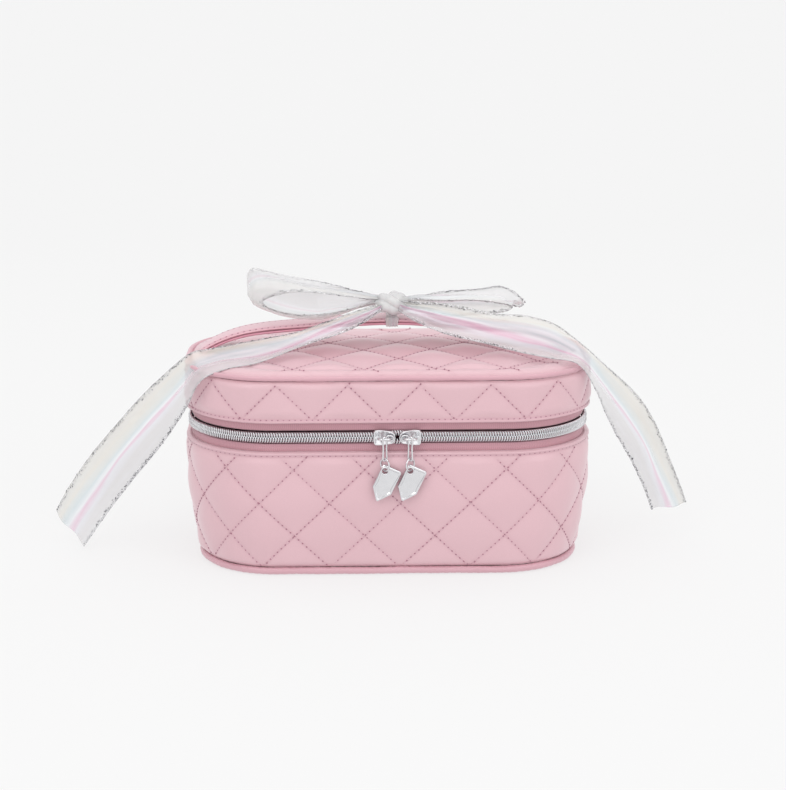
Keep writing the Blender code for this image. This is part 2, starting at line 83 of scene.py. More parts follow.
def bell(distance: np.ndarray, width: float) -> np.ndarray:
    """A bump of height 1 at distance 0 that fades over the width."""
    return np.exp(-((distance / width) ** 2))


def wobble(*coords: np.ndarray, seed: float = 0.0) -> np.ndarray:
    """A slow, repeatable unevenness from a few sines.

    Args:
        *coords: One or more coordinates, in radians of unevenness.
        seed: Shifts the pattern.

    Returns:
        Numbers of about -1 to 1.
    """
    total = 0.0
    for k, coord in enumerate(coords):
        total = total + np.sin(coord * (1.0 + 0.31 * k) + 1.7 * seed + 2.1 * k)
        total = total + 0.5 * np.sin(coord * 2.37 + 0.9 * seed + 4.3 * k)
    return total / (1.5 * max(len(coords), 1))


def needle_pull(run: np.ndarray, length: float) -> np.ndarray:
    """How hard the thread pulls along a row of stitches, 1 at each needle hole and 0 between two."""
    return 0.5 + 0.5 * np.cos(2 * math.pi * run / length)


def raised(flat: np.ndarray, z: np.ndarray) -> np.ndarray:
    """Points of the plan at their own heights, or all at one height."""
    return np.concatenate([flat, np.broadcast_to(z, flat.shape[:-1])[..., None]], axis=-1)


def run_along(line: np.ndarray) -> np.ndarray:
    """The distance from a line's start to each of its points."""
    return np.concatenate([[0], np.cumsum(np.linalg.norm(np.diff(line, axis=0), axis=1))])


def at_runs(line: np.ndarray, run: np.ndarray, wanted: np.ndarray) -> np.ndarray:
    """What a line's points, or other rows of three, come to at the wanted distances along it."""
    return np.stack([np.interp(wanted, run, line[:, k]) for k in range(3)], axis=1)


def through(points: list, count: int) -> np.ndarray:
    """Evenly spaced points along a Catmull-Rom line through the chosen points.

    Args:
        points: The chosen points, each of three numbers.
        count: How many points to return.

    Returns:
        An array of count points.
    """
    chosen = np.array([tuple(p) for p in points], float)
    padded = np.vstack([2 * chosen[0] - chosen[1], chosen, 2 * chosen[-1] - chosen[-2]])
    line = []
    for a, b, c, d in zip(padded, padded[1:], padded[2:], padded[3:]):
        for t in np.linspace(0, 1, 12, endpoint=False):
            bend = (2 * a - 5 * b + 4 * c - d) * t**2 + (3 * b - a - 3 * c + d) * t**3
            line.append((2 * b + (c - a) * t + bend) / 2)
    line = np.array([*line, chosen[-1]])
    run = run_along(line)
    return at_runs(line, run, np.linspace(0, run[-1], count))


def unit(vectors: np.ndarray) -> np.ndarray:
    """Vectors scaled to length 1 along the last axis."""
    return vectors / np.maximum(np.linalg.norm(vectors, axis=-1, keepdims=True), 1e-12)


def link_piece(name: str, mesh: bpy.types.Mesh) -> bpy.types.Object:
    """Puts a mesh in the scene as a piece."""
    piece = bpy.data.objects.new(name, mesh)
    bpy.context.scene.collection.objects.link(piece)
    return piece


def mesh_from(name: str, points: np.ndarray, faces: np.ndarray) -> bpy.types.Object:
    """A smooth-shaded object from points and faces of equally many corners.

    Args:
        name: The piece's name.
        points: Points, N by 3.
        faces: Corner indices, M by 3 or 4.

    Returns:
        The new object, linked to the scene.
    """
    mesh = bpy.data.meshes.new(name)
    corners = faces.shape[1]
    mesh.vertices.add(len(points))
    mesh.vertices.foreach_set("co", np.ascontiguousarray(points, np.float32).ravel())
    mesh.loops.add(faces.size)
    mesh.loops.foreach_set("vertex_index", np.ascontiguousarray(faces, np.int32).ravel())
    mesh.polygons.add(len(faces))
    mesh.polygons.foreach_set("loop_start", np.arange(0, faces.size, corners, dtype=np.int32))
    mesh.update(calc_edges=True)
    mesh.validate()
    mesh.polygons.foreach_set("use_smooth", np.full(len(mesh.polygons), True))
    return link_piece(name, mesh)


def grid_faces(rows: int, columns: int, wrap_rows: bool, wrap_columns: bool) -> np.ndarray:
    """Four-cornered faces of a grid of rows by columns, each way wrapped round if asked.

    Args:
        rows: Number of rows of points.
        columns: Number of points in a row.
        wrap_rows: Whether the last row joins the first.
        wrap_columns: Whether each row's end joins its start.

    Returns:
        Corner indices, M by 4.
    """
    i = np.arange(rows if wrap_rows else rows - 1)[:, None]
    j = np.arange(columns if wrap_columns else columns - 1)[None, :]
    next_i, next_j = (i + 1) % rows, (j + 1) % columns
    corners = (i * columns + j, i * columns + next_j, next_i * columns + next_j, next_i * columns + j)
    return np.stack([np.broadcast_to(c, (i.size, j.size)) for c in corners], axis=-1).reshape(-1, 4)


def grid(
    name: str, points: np.ndarray, wrap_rows: bool = False, wrap_columns: bool = False
) -> bpy.types.Object:
    """A sheet of four-cornered faces through an array of rows by columns by 3."""
    faces = grid_faces(*points.shape[:2], wrap_rows, wrap_columns)
    return mesh_from(name, points.reshape(-1, 3), faces)


def tube_points(line: np.ndarray, radius: np.ndarray, sides: int, closed: bool = False) -> np.ndarray:
    """Rings of points round a line, turned as little as possible from one to the next.

    Args:
        line: The line's points, N by 3.
        radius: The radius at each point, or one for all.
        sides: Points in each ring.
        closed: Whether the line joins its own start.

    Returns:
        Points, N by sides by 3.
    """
    if closed:
        tangent = unit(np.roll(line, -1, axis=0) - np.roll(line, 1, axis=0))
    else:
        tangent = unit(np.gradient(line, axis=0))
    side = np.zeros_like(line)
    start = np.cross(tangent[0], (0.31, 0.17, 0.93))
    side[0] = start / np.linalg.norm(start)
    for k in range(1, len(line)):
        turned = side[k - 1] - tangent[k] * np.dot(side[k - 1], tangent[k])
        side[k] = turned / np.linalg.norm(turned)
    other = np.cross(tangent, side)
    if closed:
        # The frame comes back turned by an angle, which is spread along the line.
        last = side[-1] - tangent[0] * np.dot(side[-1], tangent[0])
        gap = math.atan2(np.dot(last, other[0]), np.dot(last, side[0]))
        twist = -gap * np.arange(len(line)) / len(line)
        side, other = (
            side * np.cos(twist)[:, None] + other * np.sin(twist)[:, None],
            other * np.cos(twist)[:, None] - side * np.sin(twist)[:, None],
        )
    angle = np.arange(sides) * 2 * math.pi / sides
    reach = np.broadcast_to(np.asarray(radius, float).reshape(-1, 1, 1), (len(line), 1, 1))
    return line[:, None] + reach * (
        side[:, None] * np.cos(angle)[None, :, None] + other[:, None] * np.sin(angle)[None, :, None]
    )


def tube(
    name: str, line: np.ndarray, radius: np.ndarray, sides: int, closed: bool = False
) -> bpy.types.Object:
    """A round tube along a line; an open one has each end closed by faces that meet in a point.

    Args:
        name: The piece's name.
        line: The line's points, N by 3.
        radius: The radius at each point, or one for all.
        sides: Points round the tube.
        closed: Whether the line joins its own start.

    Returns:
        The new object.
    """
    points = tube_points(line, radius, sides, closed).reshape(-1, 3)
    faces = grid_faces(len(line), sides, wrap_rows=closed, wrap_columns=True)
    if closed:
        return mesh_from(name, points, faces)
    piece = mesh_from(name, np.vstack([points, line[0], line[-1]]), faces)
    start, end = len(points), len(points) + 1
    last_ring = len(points) - sides
    following = [(k + 1) % sides for k in range(sides)]
    caps = [(following[k], k, start) for k in range(sides)]
    caps += [(last_ring + k, last_ring + following[k], end) for k in range(sides)]
    bm = bmesh.new()
    bm.from_mesh(piece.data)
    bm.verts.ensure_lookup_table()
    for cap in caps:
        bm.faces.new([bm.verts[k] for k in cap]).smooth = True
    bm.to_mesh(piece.data)
    bm.free()
    return piece


def keep_value(piece: bpy.types.Object, name: str, values: np.ndarray) -> None:
    """Stores one number for each point of a piece, which its material can read."""
    store = piece.data.attributes.new(name, "FLOAT", "POINT")
    store.data.foreach_set("value", np.ascontiguousarray(values, np.float32).ravel())


def thicken(piece: bpy.types.Object, thickness: float, offset: float = -1.0) -> bpy.types.Object:
    """Gives a sheet its real thickness and applies it."""
    solid = piece.modifiers.new("thickness", "SOLIDIFY")
    solid.thickness = thickness
    solid.offset = offset
    apply_modifiers(piece)
    return piece


def apply_modifiers(piece: bpy.types.Object) -> None:
    """Turns a piece into the mesh that its modifiers make."""
    bpy.context.view_layer.update()
    graph = bpy.context.evaluated_depsgraph_get()
    made = bpy.data.meshes.new_from_object(piece.evaluated_get(graph), depsgraph=graph)
    piece.modifiers.clear()
    piece.data = made


def copies(name: str, shape: bpy.types.Object, places: np.ndarray, turns: np.ndarray) -> bpy.types.Object:
    """One piece that holds a small shape at many places.

    Args:
        name: The piece's name.
        shape: The small shape; it is removed.
        places: Where each copy goes, N by 3.
        turns: Each copy's X, Y and Z directions as columns, N by 3 by 3.

    Returns:
        The new object.
    """
    count = len(shape.data.vertices)
    corners = np.zeros(count * 3)
    shape.data.vertices.foreach_get("co", corners)
    corners = corners.reshape(-1, 3)
    faces = np.array([list(p.vertices) for p in shape.data.polygons])
    points = np.einsum("nij,kj->nki", turns, corners) + places[:, None]
    shifts = (np.arange(len(places)) * count)[:, None, None]
    every = (faces[None] + shifts).reshape(-1, faces.shape[1])
    bpy.data.objects.remove(shape)
    return mesh_from(name, points.reshape(-1, 3), every)


def bead(length: float, radius: float, sides: int = 6, rings: int = 5) -> bpy.types.Object:
    """A short open-ended barrel along X made of four-cornered faces, such as one stitch of thread.

    Args:
        length: Its length.
        radius: Its radius in the middle.
        sides: Points round it.
        rings: Rings along it.

    Returns:
        The new object.
    """
    t = np.linspace(-1, 1, rings)[:, None]
    reach = radius * np.sqrt(np.maximum(1 - np.abs(t) ** 3, 0.04))
    angle = np.arange(sides) * 2 * math.pi / sides
    across = np.repeat(t * length / 2, sides, axis=1)
    points = np.stack([across, reach * np.cos(angle), reach * np.sin(angle)], axis=-1)
    return grid("bead", points, wrap_columns=True)


# ---------------------------------------------------------------- finishes
class NodeSheet:
    """Lays out one material's nodes around its Principled shader."""

    def __init__(self, name: str) -> None:
        """Starts a material.

        Args:
            name: The material's name.
        """
        self.material = bpy.data.materials.new(name)
        self.material.use_nodes = True
        self.tree = self.material.node_tree
        self.shader = self.tree.nodes["Principled BSDF"]

    def add(self, kind: str, **settings: object) -> bpy.types.Node:
        """Adds a node and sets its properties or, by their name, its inputs."""
        node = self.tree.nodes.new(kind)
        for key, value in settings.items():
            if hasattr(node, key):
                setattr(node, key, value)
            else:
                node.inputs[key.replace("_", " ")].default_value = value
        return node

    def join(self, source: bpy.types.NodeSocket, target: bpy.types.NodeSocket) -> None:
        """Links two sockets."""
        self.tree.links.new(source, target)

    def place(self) -> bpy.types.NodeSocket:
        """The coordinate in the piece's own frame, in metres."""
        return self.add("ShaderNodeTexCoord").outputs["Object"]

    def value(self, attribute: str) -> bpy.types.NodeSocket:
        """A number stored on the piece's points."""
        return self.add("ShaderNodeAttribute", attribute_name=attribute).outputs["Fac"]

    def noise(
        self, scale: float, detail: float = 2.0, where: bpy.types.NodeSocket = None, rough: float = 0.5
    ) -> bpy.types.NodeSocket:
        """Noise from 0 to 1 at a scale, in cycles a metre."""
        node = self.add("ShaderNodeTexNoise", Scale=scale, Detail=detail, Roughness=rough)
        self.join(where or self.place(), node.inputs["Vector"])
        return node.outputs["Fac"]

    def ramp(self, source: bpy.types.NodeSocket, stops: list) -> bpy.types.NodeSocket:
        """Colours by a number.

        Args:
            source: The number, from 0 to 1.
            stops: Pairs of place and colour.

        Returns:
            The colour socket.
        """
        node = self.add("ShaderNodeValToRGB")
        elements = node.color_ramp.elements
        while len(elements) < len(stops):
            elements.new(0.5)
        for element, (spot, colour) in zip(elements, stops):
            element.position = spot
            element.color = (*colour, 1.0)
        self.join(source, node.inputs["Fac"])
        return node.outputs["Color"]

    def mix(self, share: object, first: object, second: object, blend: str = "MIX") -> bpy.types.NodeSocket:
        """Mixes two colours, each a socket or three numbers, by a socket or a number."""
        node = self.add("ShaderNodeMix", data_type="RGBA", blend_type=blend)
        for slot, item in ((0, share), (6, first), (7, second)):
            if isinstance(item, bpy.types.NodeSocket):
                self.join(item, node.inputs[slot])
            elif slot == 0:
                node.inputs[slot].default_value = item
            else:
                node.inputs[slot].default_value = (*item, 1.0)
        return node.outputs[2]

    def math(
        self, operation: str, first: object, second: object = 0.0, third: object = None
    ) -> bpy.types.NodeSocket:
        """One sum on sockets or numbers."""
        node = self.add("ShaderNodeMath", operation=operation)
        for slot, item in enumerate((first, second, third)):
            if isinstance(item, bpy.types.NodeSocket):
                self.join(item, node.inputs[slot])
            elif item is not None:
                node.inputs[slot].default_value = item
        return node.outputs[0]

    def bump(self, height: bpy.types.NodeSocket, distance: float, strength: float = 1.0) -> None:
        """Adds relief over whatever relief the shader has."""
        node = self.add("ShaderNodeBump", Strength=strength, Distance=distance)
        self.join(height, node.inputs["Height"])
        before = self.shader.inputs["Normal"].links
        if before:
            self.join(before[0].from_socket, node.inputs["Normal"])
        self.join(node.outputs["Normal"], self.shader.inputs["Normal"])

    def gloss(self, **levels: float) -> None:
        """Sets the shader's own sockets, such as Roughness=0.4."""
        for key, level in levels.items():
            self.shader.inputs[key.replace("_", " ")].default_value = level


@dataclass(frozen=True)
class SatinLeather:
    """Soft synthetic leather with a pearl gloss and a fine grain; the stitched valleys get painted shade in a
    deeper pink.
    """

    name: str
    colour: tuple = (0.70, 0.452, 0.495)
    crease_shade: tuple = (0.56, 0.28, 0.34)
    roughness: float = 0.38
    quilted: bool = False

    def build(self) -> bpy.types.Material:
        """Makes the material."""
        sheet = NodeSheet(self.name)
        patch = sheet.noise(16.0, 3.0)
        paler = tuple(min(1.0, c * 1.06 + 0.015) for c in self.colour)
        colour = sheet.mix(patch, self.colour, paler)
        if self.quilted:
            # Painted shade: the stitched valleys are mixed towards a deeper pink.
            colour = sheet.mix(sheet.value("crease_shade"), colour, self.crease_shade)
        fleck = sheet.noise(5200.0, 1.0)
        flecked = sheet.ramp(fleck, [(0.35, (0.93, 0.93, 0.93)), (0.65, (1.0, 1.0, 1.0))])
        sheet.join(sheet.mix(1.0, colour, flecked, "MULTIPLY"), sheet.shader.inputs["Base Color"])
        rough = sheet.math("MULTIPLY_ADD", sheet.noise(60.0, 4.0), 0.14, self.roughness - 0.07)
        sheet.join(rough, sheet.shader.inputs["Roughness"])
        grain = sheet.add("ShaderNodeTexVoronoi", Scale=1500.0, feature="SMOOTH_F1")
        sheet.join(sheet.place(), grain.inputs["Vector"])
        sheet.bump(grain.outputs["Distance"], 0.00006, 0.35)
        sheet.bump(sheet.noise(420.0, 3.0), 0.00010, 0.30)
        sheet.gloss(Sheen_Weight=0.30, Sheen_Roughness=0.40, Coat_Weight=0.38, Coat_Roughness=0.34)
        sheet.shader.inputs["Sheen Tint"].default_value = (1.0, 0.90, 0.94, 1.0)
        return sheet.material


@dataclass(frozen=True)
class Thread:
    """Spun thread of one colour, twisted along its length; a dark copy is the painted shade in the needle
    holes.
    """

    name: str
    colour: tuple

    def build(self) -> bpy.types.Material:
        """Makes the material."""
        sheet = NodeSheet(self.name)
        darker = tuple(c * 0.8 for c in self.colour)
        sheet.join(sheet.mix(sheet.noise(2400.0), self.colour, darker), sheet.shader.inputs["Base Color"])
        sheet.bump(sheet.noise(3000.0), 0.00005, 0.5)
        sheet.gloss(Roughness=0.55, Sheen_Weight=0.3)
        return sheet.material


@dataclass(frozen=True)
class WovenTape:
    """Close-woven zip tape with fine ribs and a herringbone weave."""

    name: str
    colour: tuple
    roughness: float = 0.62

    def build(self) -> bpy.types.Material:
        """Makes the material."""
        sheet = NodeSheet(self.name)
        across, along = sheet.value("across"), sheet.value("along")
        turned = sheet.math("PINGPONG", sheet.math("MULTIPLY", across, 900.0), 1.0)
        ribs = sheet.math("MULTIPLY", along, 6200.0)
        slanted = sheet.math("ADD", ribs, sheet.math("MULTIPLY", turned, 3.1))
        weave = sheet.math("SINE", slanted)
        height = sheet.math("MULTIPLY_ADD", weave, 0.5, 0.5)
        darker = tuple(c * 0.72 for c in self.colour)
        woven = sheet.mix(height, darker, self.colour)
        lighter = tuple(min(1.0, c * 1.12) for c in self.colour)
        colour = sheet.mix(sheet.noise(45.0, 3.0), woven, lighter)
        sheet.join(sheet.mix(0.5, woven, colour), sheet.shader.inputs["Base Color"])
        sheet.bump(height, 0.00010, 0.6)
        sheet.gloss(Roughness=self.roughness, Sheen_Weight=0.4, Sheen_Roughness=0.4)
        return sheet.material


@dataclass(frozen=True)
class Cloth:
    """Plain woven lining cloth."""

    name: str
    colour: tuple
    threads: float = 2200.0

    def build(self) -> bpy.types.Material:
        """Makes the material."""
        sheet = NodeSheet(self.name)
        split = sheet.add("ShaderNodeSeparateXYZ")
        sheet.join(sheet.place(), split.inputs[0])
        waves = [sheet.math("SINE", sheet.math("MULTIPLY", axis, self.threads)) for axis in split.outputs[:3]]
        together = sheet.math("ADD", sheet.math("ADD", waves[0], waves[1]), waves[2])
        weave = sheet.math("MULTIPLY_ADD", together, 0.16, 0.5)
        darker = tuple(c * 0.82 for c in self.colour)
        patch = sheet.mix(sheet.noise(22.0, 4.0), self.colour, darker)
        sheet.join(sheet.mix(weave, darker, patch), sheet.shader.inputs["Base Color"])
        sheet.bump(weave, 0.00012, 0.5)
        sheet.bump(sheet.noise(70.0, 3.0), 0.0006, 0.3)
        sheet.gloss(Roughness=0.72, Sheen_Weight=0.5, Sheen_Roughness=0.5)
        return sheet.material


@dataclass(frozen=True)
class Plating:
    """Bright silver plating with faint wear and fine marks from polishing."""

    name: str
    colour: tuple = (0.80, 0.80, 0.82)
    roughness: float = 0.16

    def build(self) -> bpy.types.Material:
        """Makes the material."""
        sheet = NodeSheet(self.name)
        duller = tuple(c * 0.86 for c in self.colour)
        worn = sheet.mix(sheet.noise(300.0, 4.0), self.colour, duller)
        sheet.join(worn, sheet.shader.inputs["Base Color"])
        rough = sheet.math("MULTIPLY_ADD", sheet.noise(900.0, 4.0), 0.12, self.roughness - 0.04)
        sheet.join(rough, sheet.shader.inputs["Roughness"])
        sheet.bump(sheet.noise(1400.0, 2.0), 0.00002, 0.2)
        sheet.gloss(Metallic=1.0)
        return sheet.material


@dataclass(frozen=True)
class PearlRibbon:
    """Sheer film ribbon: a cream and grey see-through film, with pale blue, near-white, pink and lavender
    streaks along it that are painted iridescent sheen and highlights.
    """

    name: str
    clear: float = 0.42
    phase: float = 0.0
    tint: float = 1.0

    def shade(self, colour: tuple) -> tuple:
        """A colour of the film, paler, and nearer to plain milky white the lower the tint, so the tint also
        sets how strong the painted sheen is.
        """
        milky, paler = 0.73, 0.05
        return tuple(milky + (part + paler - milky) * self.tint for part in colour)

    def build(self) -> bpy.types.Material:
        """Makes the material."""
        sheet = NodeSheet(self.name)
        across, along = sheet.value("across"), sheet.value("along")
        combined = sheet.add("ShaderNodeCombineXYZ")
        sheet.join(sheet.math("MULTIPLY", across, 3.2), combined.inputs[0])
        sheet.join(sheet.math("MULTIPLY_ADD", along, 9.0, self.phase), combined.inputs[1])
        streak = sheet.noise(1.0, 3.0, combined.outputs[0], 0.45)
        shifted = sheet.math("MULTIPLY_ADD", sheet.math("SUBTRACT", streak, 0.5), 0.55, across)
        # The cream and grey stops are the film's own colour; the pale blue, near-white, pink and lavender
        # stops are painted iridescent sheen and highlights.
        tint_and_sheen_stripes = (
            (0.00, (0.64, 0.64, 0.62)),
            (0.18, (0.68, 0.65, 0.59)),
            (0.36, (0.56, 0.64, 0.67)),
            (0.47, (0.76, 0.79, 0.82)),
            (0.55, (0.72, 0.47, 0.60)),
            (0.64, (0.69, 0.69, 0.74)),
            (0.80, (0.63, 0.61, 0.62)),
            (1.00, (0.66, 0.66, 0.67)),
        )
        colour = sheet.ramp(shifted, [(spot, self.shade(stripe)) for spot, stripe in tint_and_sheen_stripes])
        sheet.join(colour, sheet.shader.inputs["Base Color"])
        fine = sheet.math("SINE", sheet.math("MULTIPLY", across, 190.0))
        sheet.bump(fine, 0.00002, 0.35)
        sheet.bump(sheet.noise(2.2, 3.0, combined.outputs[0]), 0.0016, 0.25)
        sheet.gloss(Roughness=0.24, Coat_Weight=0.8, Coat_Roughness=0.08, Sheen_Weight=0.2, Alpha=self.clear)
        sheet.shader.inputs["Specular Tint"].default_value = (0.92, 0.90, 1.0, 1.0)
        return sheet.material


@dataclass(frozen=True)
class Glitter:
    """Metallic thread that sparkles: each small facet is painted dark or bright at random, as painted glints
    and shade.
    """

    name: str

    def build(self) -> bpy.types.Material:
        """Makes the material."""
        sheet = NodeSheet(self.name)
        cells = sheet.add("ShaderNodeTexVoronoi", Scale=1300.0)
        sheet.join(sheet.place(), cells.inputs["Vector"])
        split = sheet.add("ShaderNodeSeparateColor")
        sheet.join(cells.outputs["Color"], split.inputs[0])
        # Painted glints and shade: each cell's colour is dark or bright at random.
        dark = [(0.0, (0.10, 0.10, 0.12)), (0.40, (0.22, 0.22, 0.24))]
        bright = [(0.52, (0.74, 0.74, 0.76)), (1.0, (0.98, 0.98, 1.0))]
        colour = sheet.ramp(split.outputs[0], dark + bright)
        sheet.join(colour, sheet.shader.inputs["Base Color"])
        sheet.bump(split.outputs[1], 0.0004, 0.9)
        sheet.gloss(Metallic=0.85, Roughness=0.22)
        return sheet.material


@dataclass(frozen=True)
class Board:
    """Pressed stiffener board with a coarse grain."""

    name: str
    colour: tuple
    grain: float

    def build(self) -> bpy.types.Material:
        """Makes the material."""
        sheet = NodeSheet(self.name)
        darker = tuple(c * 0.75 for c in self.colour)
        grain = sheet.noise(self.grain, 5.0)
        sheet.join(sheet.mix(grain, darker, self.colour), sheet.shader.inputs["Base Color"])
        sheet.bump(grain, 0.0003, 0.6)
        sheet.gloss(Roughness=0.9)
        return sheet.material


class Finish(Enum):
    """Every finish of the bag, each with what makes it."""

    QUILTED = SatinLeather("quilted_satin", quilted=True)
    PLAIN = SatinLeather("plain_satin")
    PIPED = SatinLeather("piping_satin", (0.64, 0.365, 0.42), roughness=0.44)
    STRAP = SatinLeather("strap_satin", (0.71, 0.42, 0.475))
    STRAP_UNDER = SatinLeather("strap_under_satin", (0.72, 0.33, 0.42), roughness=0.5)
    THREAD = Thread("pink_thread", (0.74, 0.48, 0.54))
    # Painted shade: the dark of the needle holes, put on small beads.
    HOLE_SHADE = Thread("needle_hole_shade", (0.42, 0.17, 0.24))
    TAPE = WovenTape("zip_tape", (0.60, 0.32, 0.37))
    TEETH = Plating("zip_teeth_plating", (0.80, 0.80, 0.82), 0.24)
    METAL = Plating("bright_plating")
    RIBBON = PearlRibbon("pearl_ribbon")
    RIBBON_DENSE = PearlRibbon("pearl_ribbon_knot", 0.62, 1.3, 0.15)
    RIBBON_PLAIN = PearlRibbon("pearl_ribbon_loops", 0.42, 0.7, 0.35)
    GLITTER = Glitter("glitter_thread")
    LINING = Cloth("lining_cloth", (0.74, 0.50, 0.56))
    BOARD = Board("stiffener_board", (0.62, 0.56, 0.48), 900.0)


MADE: dict = {}


def finish(choice: Finish) -> bpy.types.Material:
    """The material of a finish, made once."""
    if choice not in MADE:
        MADE[choice] = choice.value.build()
    return MADE[choice]


def dress(piece: bpy.types.Object, choice: Finish) -> bpy.types.Object:
    """Gives a piece its finish."""
    piece.data.materials.clear()
    piece.data.materials.append(finish(choice))
    return piece


def fit(piece: bpy.types.Object, choice: Finish, body: str, slot: str, *nodes: str) -> bpy.types.Object:
    """Dresses a piece and fixes it to the body that it moves with.

    Args:
        piece: The piece.
        choice: Its finish.
        body: The body it rides on.
        slot: Its material slot; not used.
        *nodes: The model nodes it stands for, if any.

    Returns:
        The same piece.
    """
    dress(piece, choice)
    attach(piece, body)
    if nodes:
        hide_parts(*nodes)
    return piece


# ---------------------------------------------------------------- the bag's plan and heights
@dataclass
class BagForm:
    """Sizes that all the sub-assemblies share, read from the frame."""

    half_w: float = 0.0
    half_d: float = 0.0
    base_low: float = 0.0
    base_high: float = 0.0
    lid_low: float = 0.0
    lid_high: float = 0.0
    corner: float = 0.050
    zip_return: float = 0.010
    underside_inset: float = 0.006
    wall: float = 0.003
    piping: float = 0.002

    @classmethod
    def from_frame(cls) -> "BagForm":
        """Reads the walls' boxes."""
        base_min, base_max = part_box("base_wall")
        lid_min, lid_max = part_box("lid_wall")
        return cls(base_max.x, base_max.y, base_min.z, base_max.z, lid_min.z, lid_max.z)

    @property
    def straight_x(self) -> float:
        """Half the straight part of the front and the back."""
        return self.half_w - self.corner

    @property
    def straight_y(self) -> float:
        """Half the straight part of a side."""
        return self.half_d - self.corner

    @property
    def around(self) -> float:
        """Length once round the plan."""
        return 4 * (self.straight_x + self.straight_y) + 2 * math.pi * self.corner

    @property
    def zip_z(self) -> float:
        """Height of the line where the teeth meet."""
        return (self.base_high + self.lid_low) / 2

    @property
    def top_z(self) -> float:
        """Height of the top piping's centre."""
        return self.lid_high + 0.0003 + self.piping

    @property
    def zip_reach(self) -> float:
        """Distance along the plan from the front's middle to the zip's end."""
        return self.around / 2 - (self.straight_x - self.zip_return)

    def once_round(self, count: int, shift: float = 0.0) -> np.ndarray:
        """Evenly spaced distances once round the plan, from the middle of the back."""
        return (np.arange(count) + shift) * self.around / count - self.around / 2

    def trace(self, run: np.ndarray) -> tuple:
        """Points of the plan and their outward directions.

        Args:
            run: Distance along the plan from the middle of the front, positive towards +X.

        Returns:
            The points and the outward directions, each with a last axis of 2.
        """
        sign = np.sign(run) + (run == 0)
        far = np.abs(run)
        arc = self.corner * math.pi / 2
        a = self.straight_x
        b = a + arc
        c = b + 2 * self.straight_y
        d = c + arc
        first = np.clip((far - a) / self.corner, 0, math.pi / 2)
        second = np.clip((far - c) / self.corner, 0, math.pi / 2)
        angle = -math.pi / 2 + first + second
        x = np.minimum(far, a) - np.maximum(far - d, 0) + self.corner * np.cos(angle)
        y = -self.straight_y + np.clip(far - b, 0, 2 * self.straight_y) + self.corner * np.sin(angle)
        points = np.stack([sign * x, y], axis=-1)
        outward = np.stack([sign * np.cos(angle), np.sin(angle)], axis=-1)
        return points, outward

    def base_inset(self, z: np.ndarray) -> np.ndarray:
        """How far the base wall is drawn in at a height."""
        share = np.clip((z - self.base_low) / (self.base_high - self.base_low), 0, 1)
        return self.underside_inset * (1 - share) ** 2.2


FORM = BagForm.from_frame()


@dataclass(frozen=True)
class Quilting:
    """Diamonds of stitching, at 45 degrees, over a surface measured along and up."""

    pitch: float
    along: float
    up: float
    puff: float
    softness: float = 0.60
    stitch: float = STITCH

    def lines(self, along: np.ndarray, up: np.ndarray) -> tuple:
        """The two families of lines as numbers that are whole on a line."""
        a = (along - self.along + up - self.up) / self.pitch
        b = (along - self.along - up + self.up) / self.pitch
        return a, b

    def height(self, along: np.ndarray, up: np.ndarray) -> np.ndarray:
        """How far the padding stands out, from 0 on a stitch line."""
        a, b = self.lines(along, up)
        crest = np.abs(np.sin(math.pi * a)) * np.abs(np.sin(math.pi * b))
        lift = self.puff * (0.55 * crest**self.softness + 0.45 * crest)
        side = self.pitch / math.sqrt(2)
        for across, other in ((a, b), (b, a)):
            away = np.abs(across - np.round(across)) * side
            pull = needle_pull(other * side, self.stitch)
            lift = lift - 0.00016 * bell(away, 0.0010) * (0.35 + 0.65 * pull)
        return lift

    def crease_shade(self, along: np.ndarray, up: np.ndarray) -> np.ndarray:
        """Painted shade along the stitch lines' valleys: 1 on a stitch line, fading over a few millimetres.
        """
        a, b = self.lines(along, up)
        side = self.pitch / math.sqrt(2)
        near = [bell(np.abs(x - np.round(x)) * side, 0.0013) for x in (a, b)]
        return np.clip(near[0] + near[1], 0, 1) * 0.12

    def stitches(self, along: tuple, up: tuple) -> tuple:
        """Middles and directions of the stitches inside a rectangle of the surface.

        Args:
            along: Lowest and highest distance along.
            up: Lowest and highest distance up.

        Returns:
            Middles (N by 2) and unit directions (N by 2).
        """
        middles, ways = [], []
        side = self.pitch / math.sqrt(2)
        for family in (1, -1):
            corners = [family * (u - self.up) + (a - self.along) for a in along for u in up]
            low, high = math.floor(min(corners) / self.pitch), math.ceil(max(corners) / self.pitch)
            way = np.array([1.0, -family]) / math.sqrt(2)
            for k in range(low, high + 1):
                origin = np.array([self.along + k * self.pitch / 2, self.up + family * k * self.pitch / 2])
                # Stitches start from a crossing, so that both families share their holes there.
                count = int((along[1] - along[0] + up[1] - up[0]) / self.stitch) + 40
                steps = (np.arange(-count, count) + 0.5) * self.stitch
                shift = (k % 2) * side / 2
                spots = origin + (steps + shift)[:, None] * way
                inside = (spots[:, 0] >= along[0]) & (spots[:, 0] < along[1])
                inside &= (spots[:, 1] > up[0]) & (spots[:, 1] < up[1])
                middles.append(spots[inside])
                ways.append(np.repeat(way[None], inside.sum(), axis=0))
        return np.vstack(middles), np.vstack(ways)


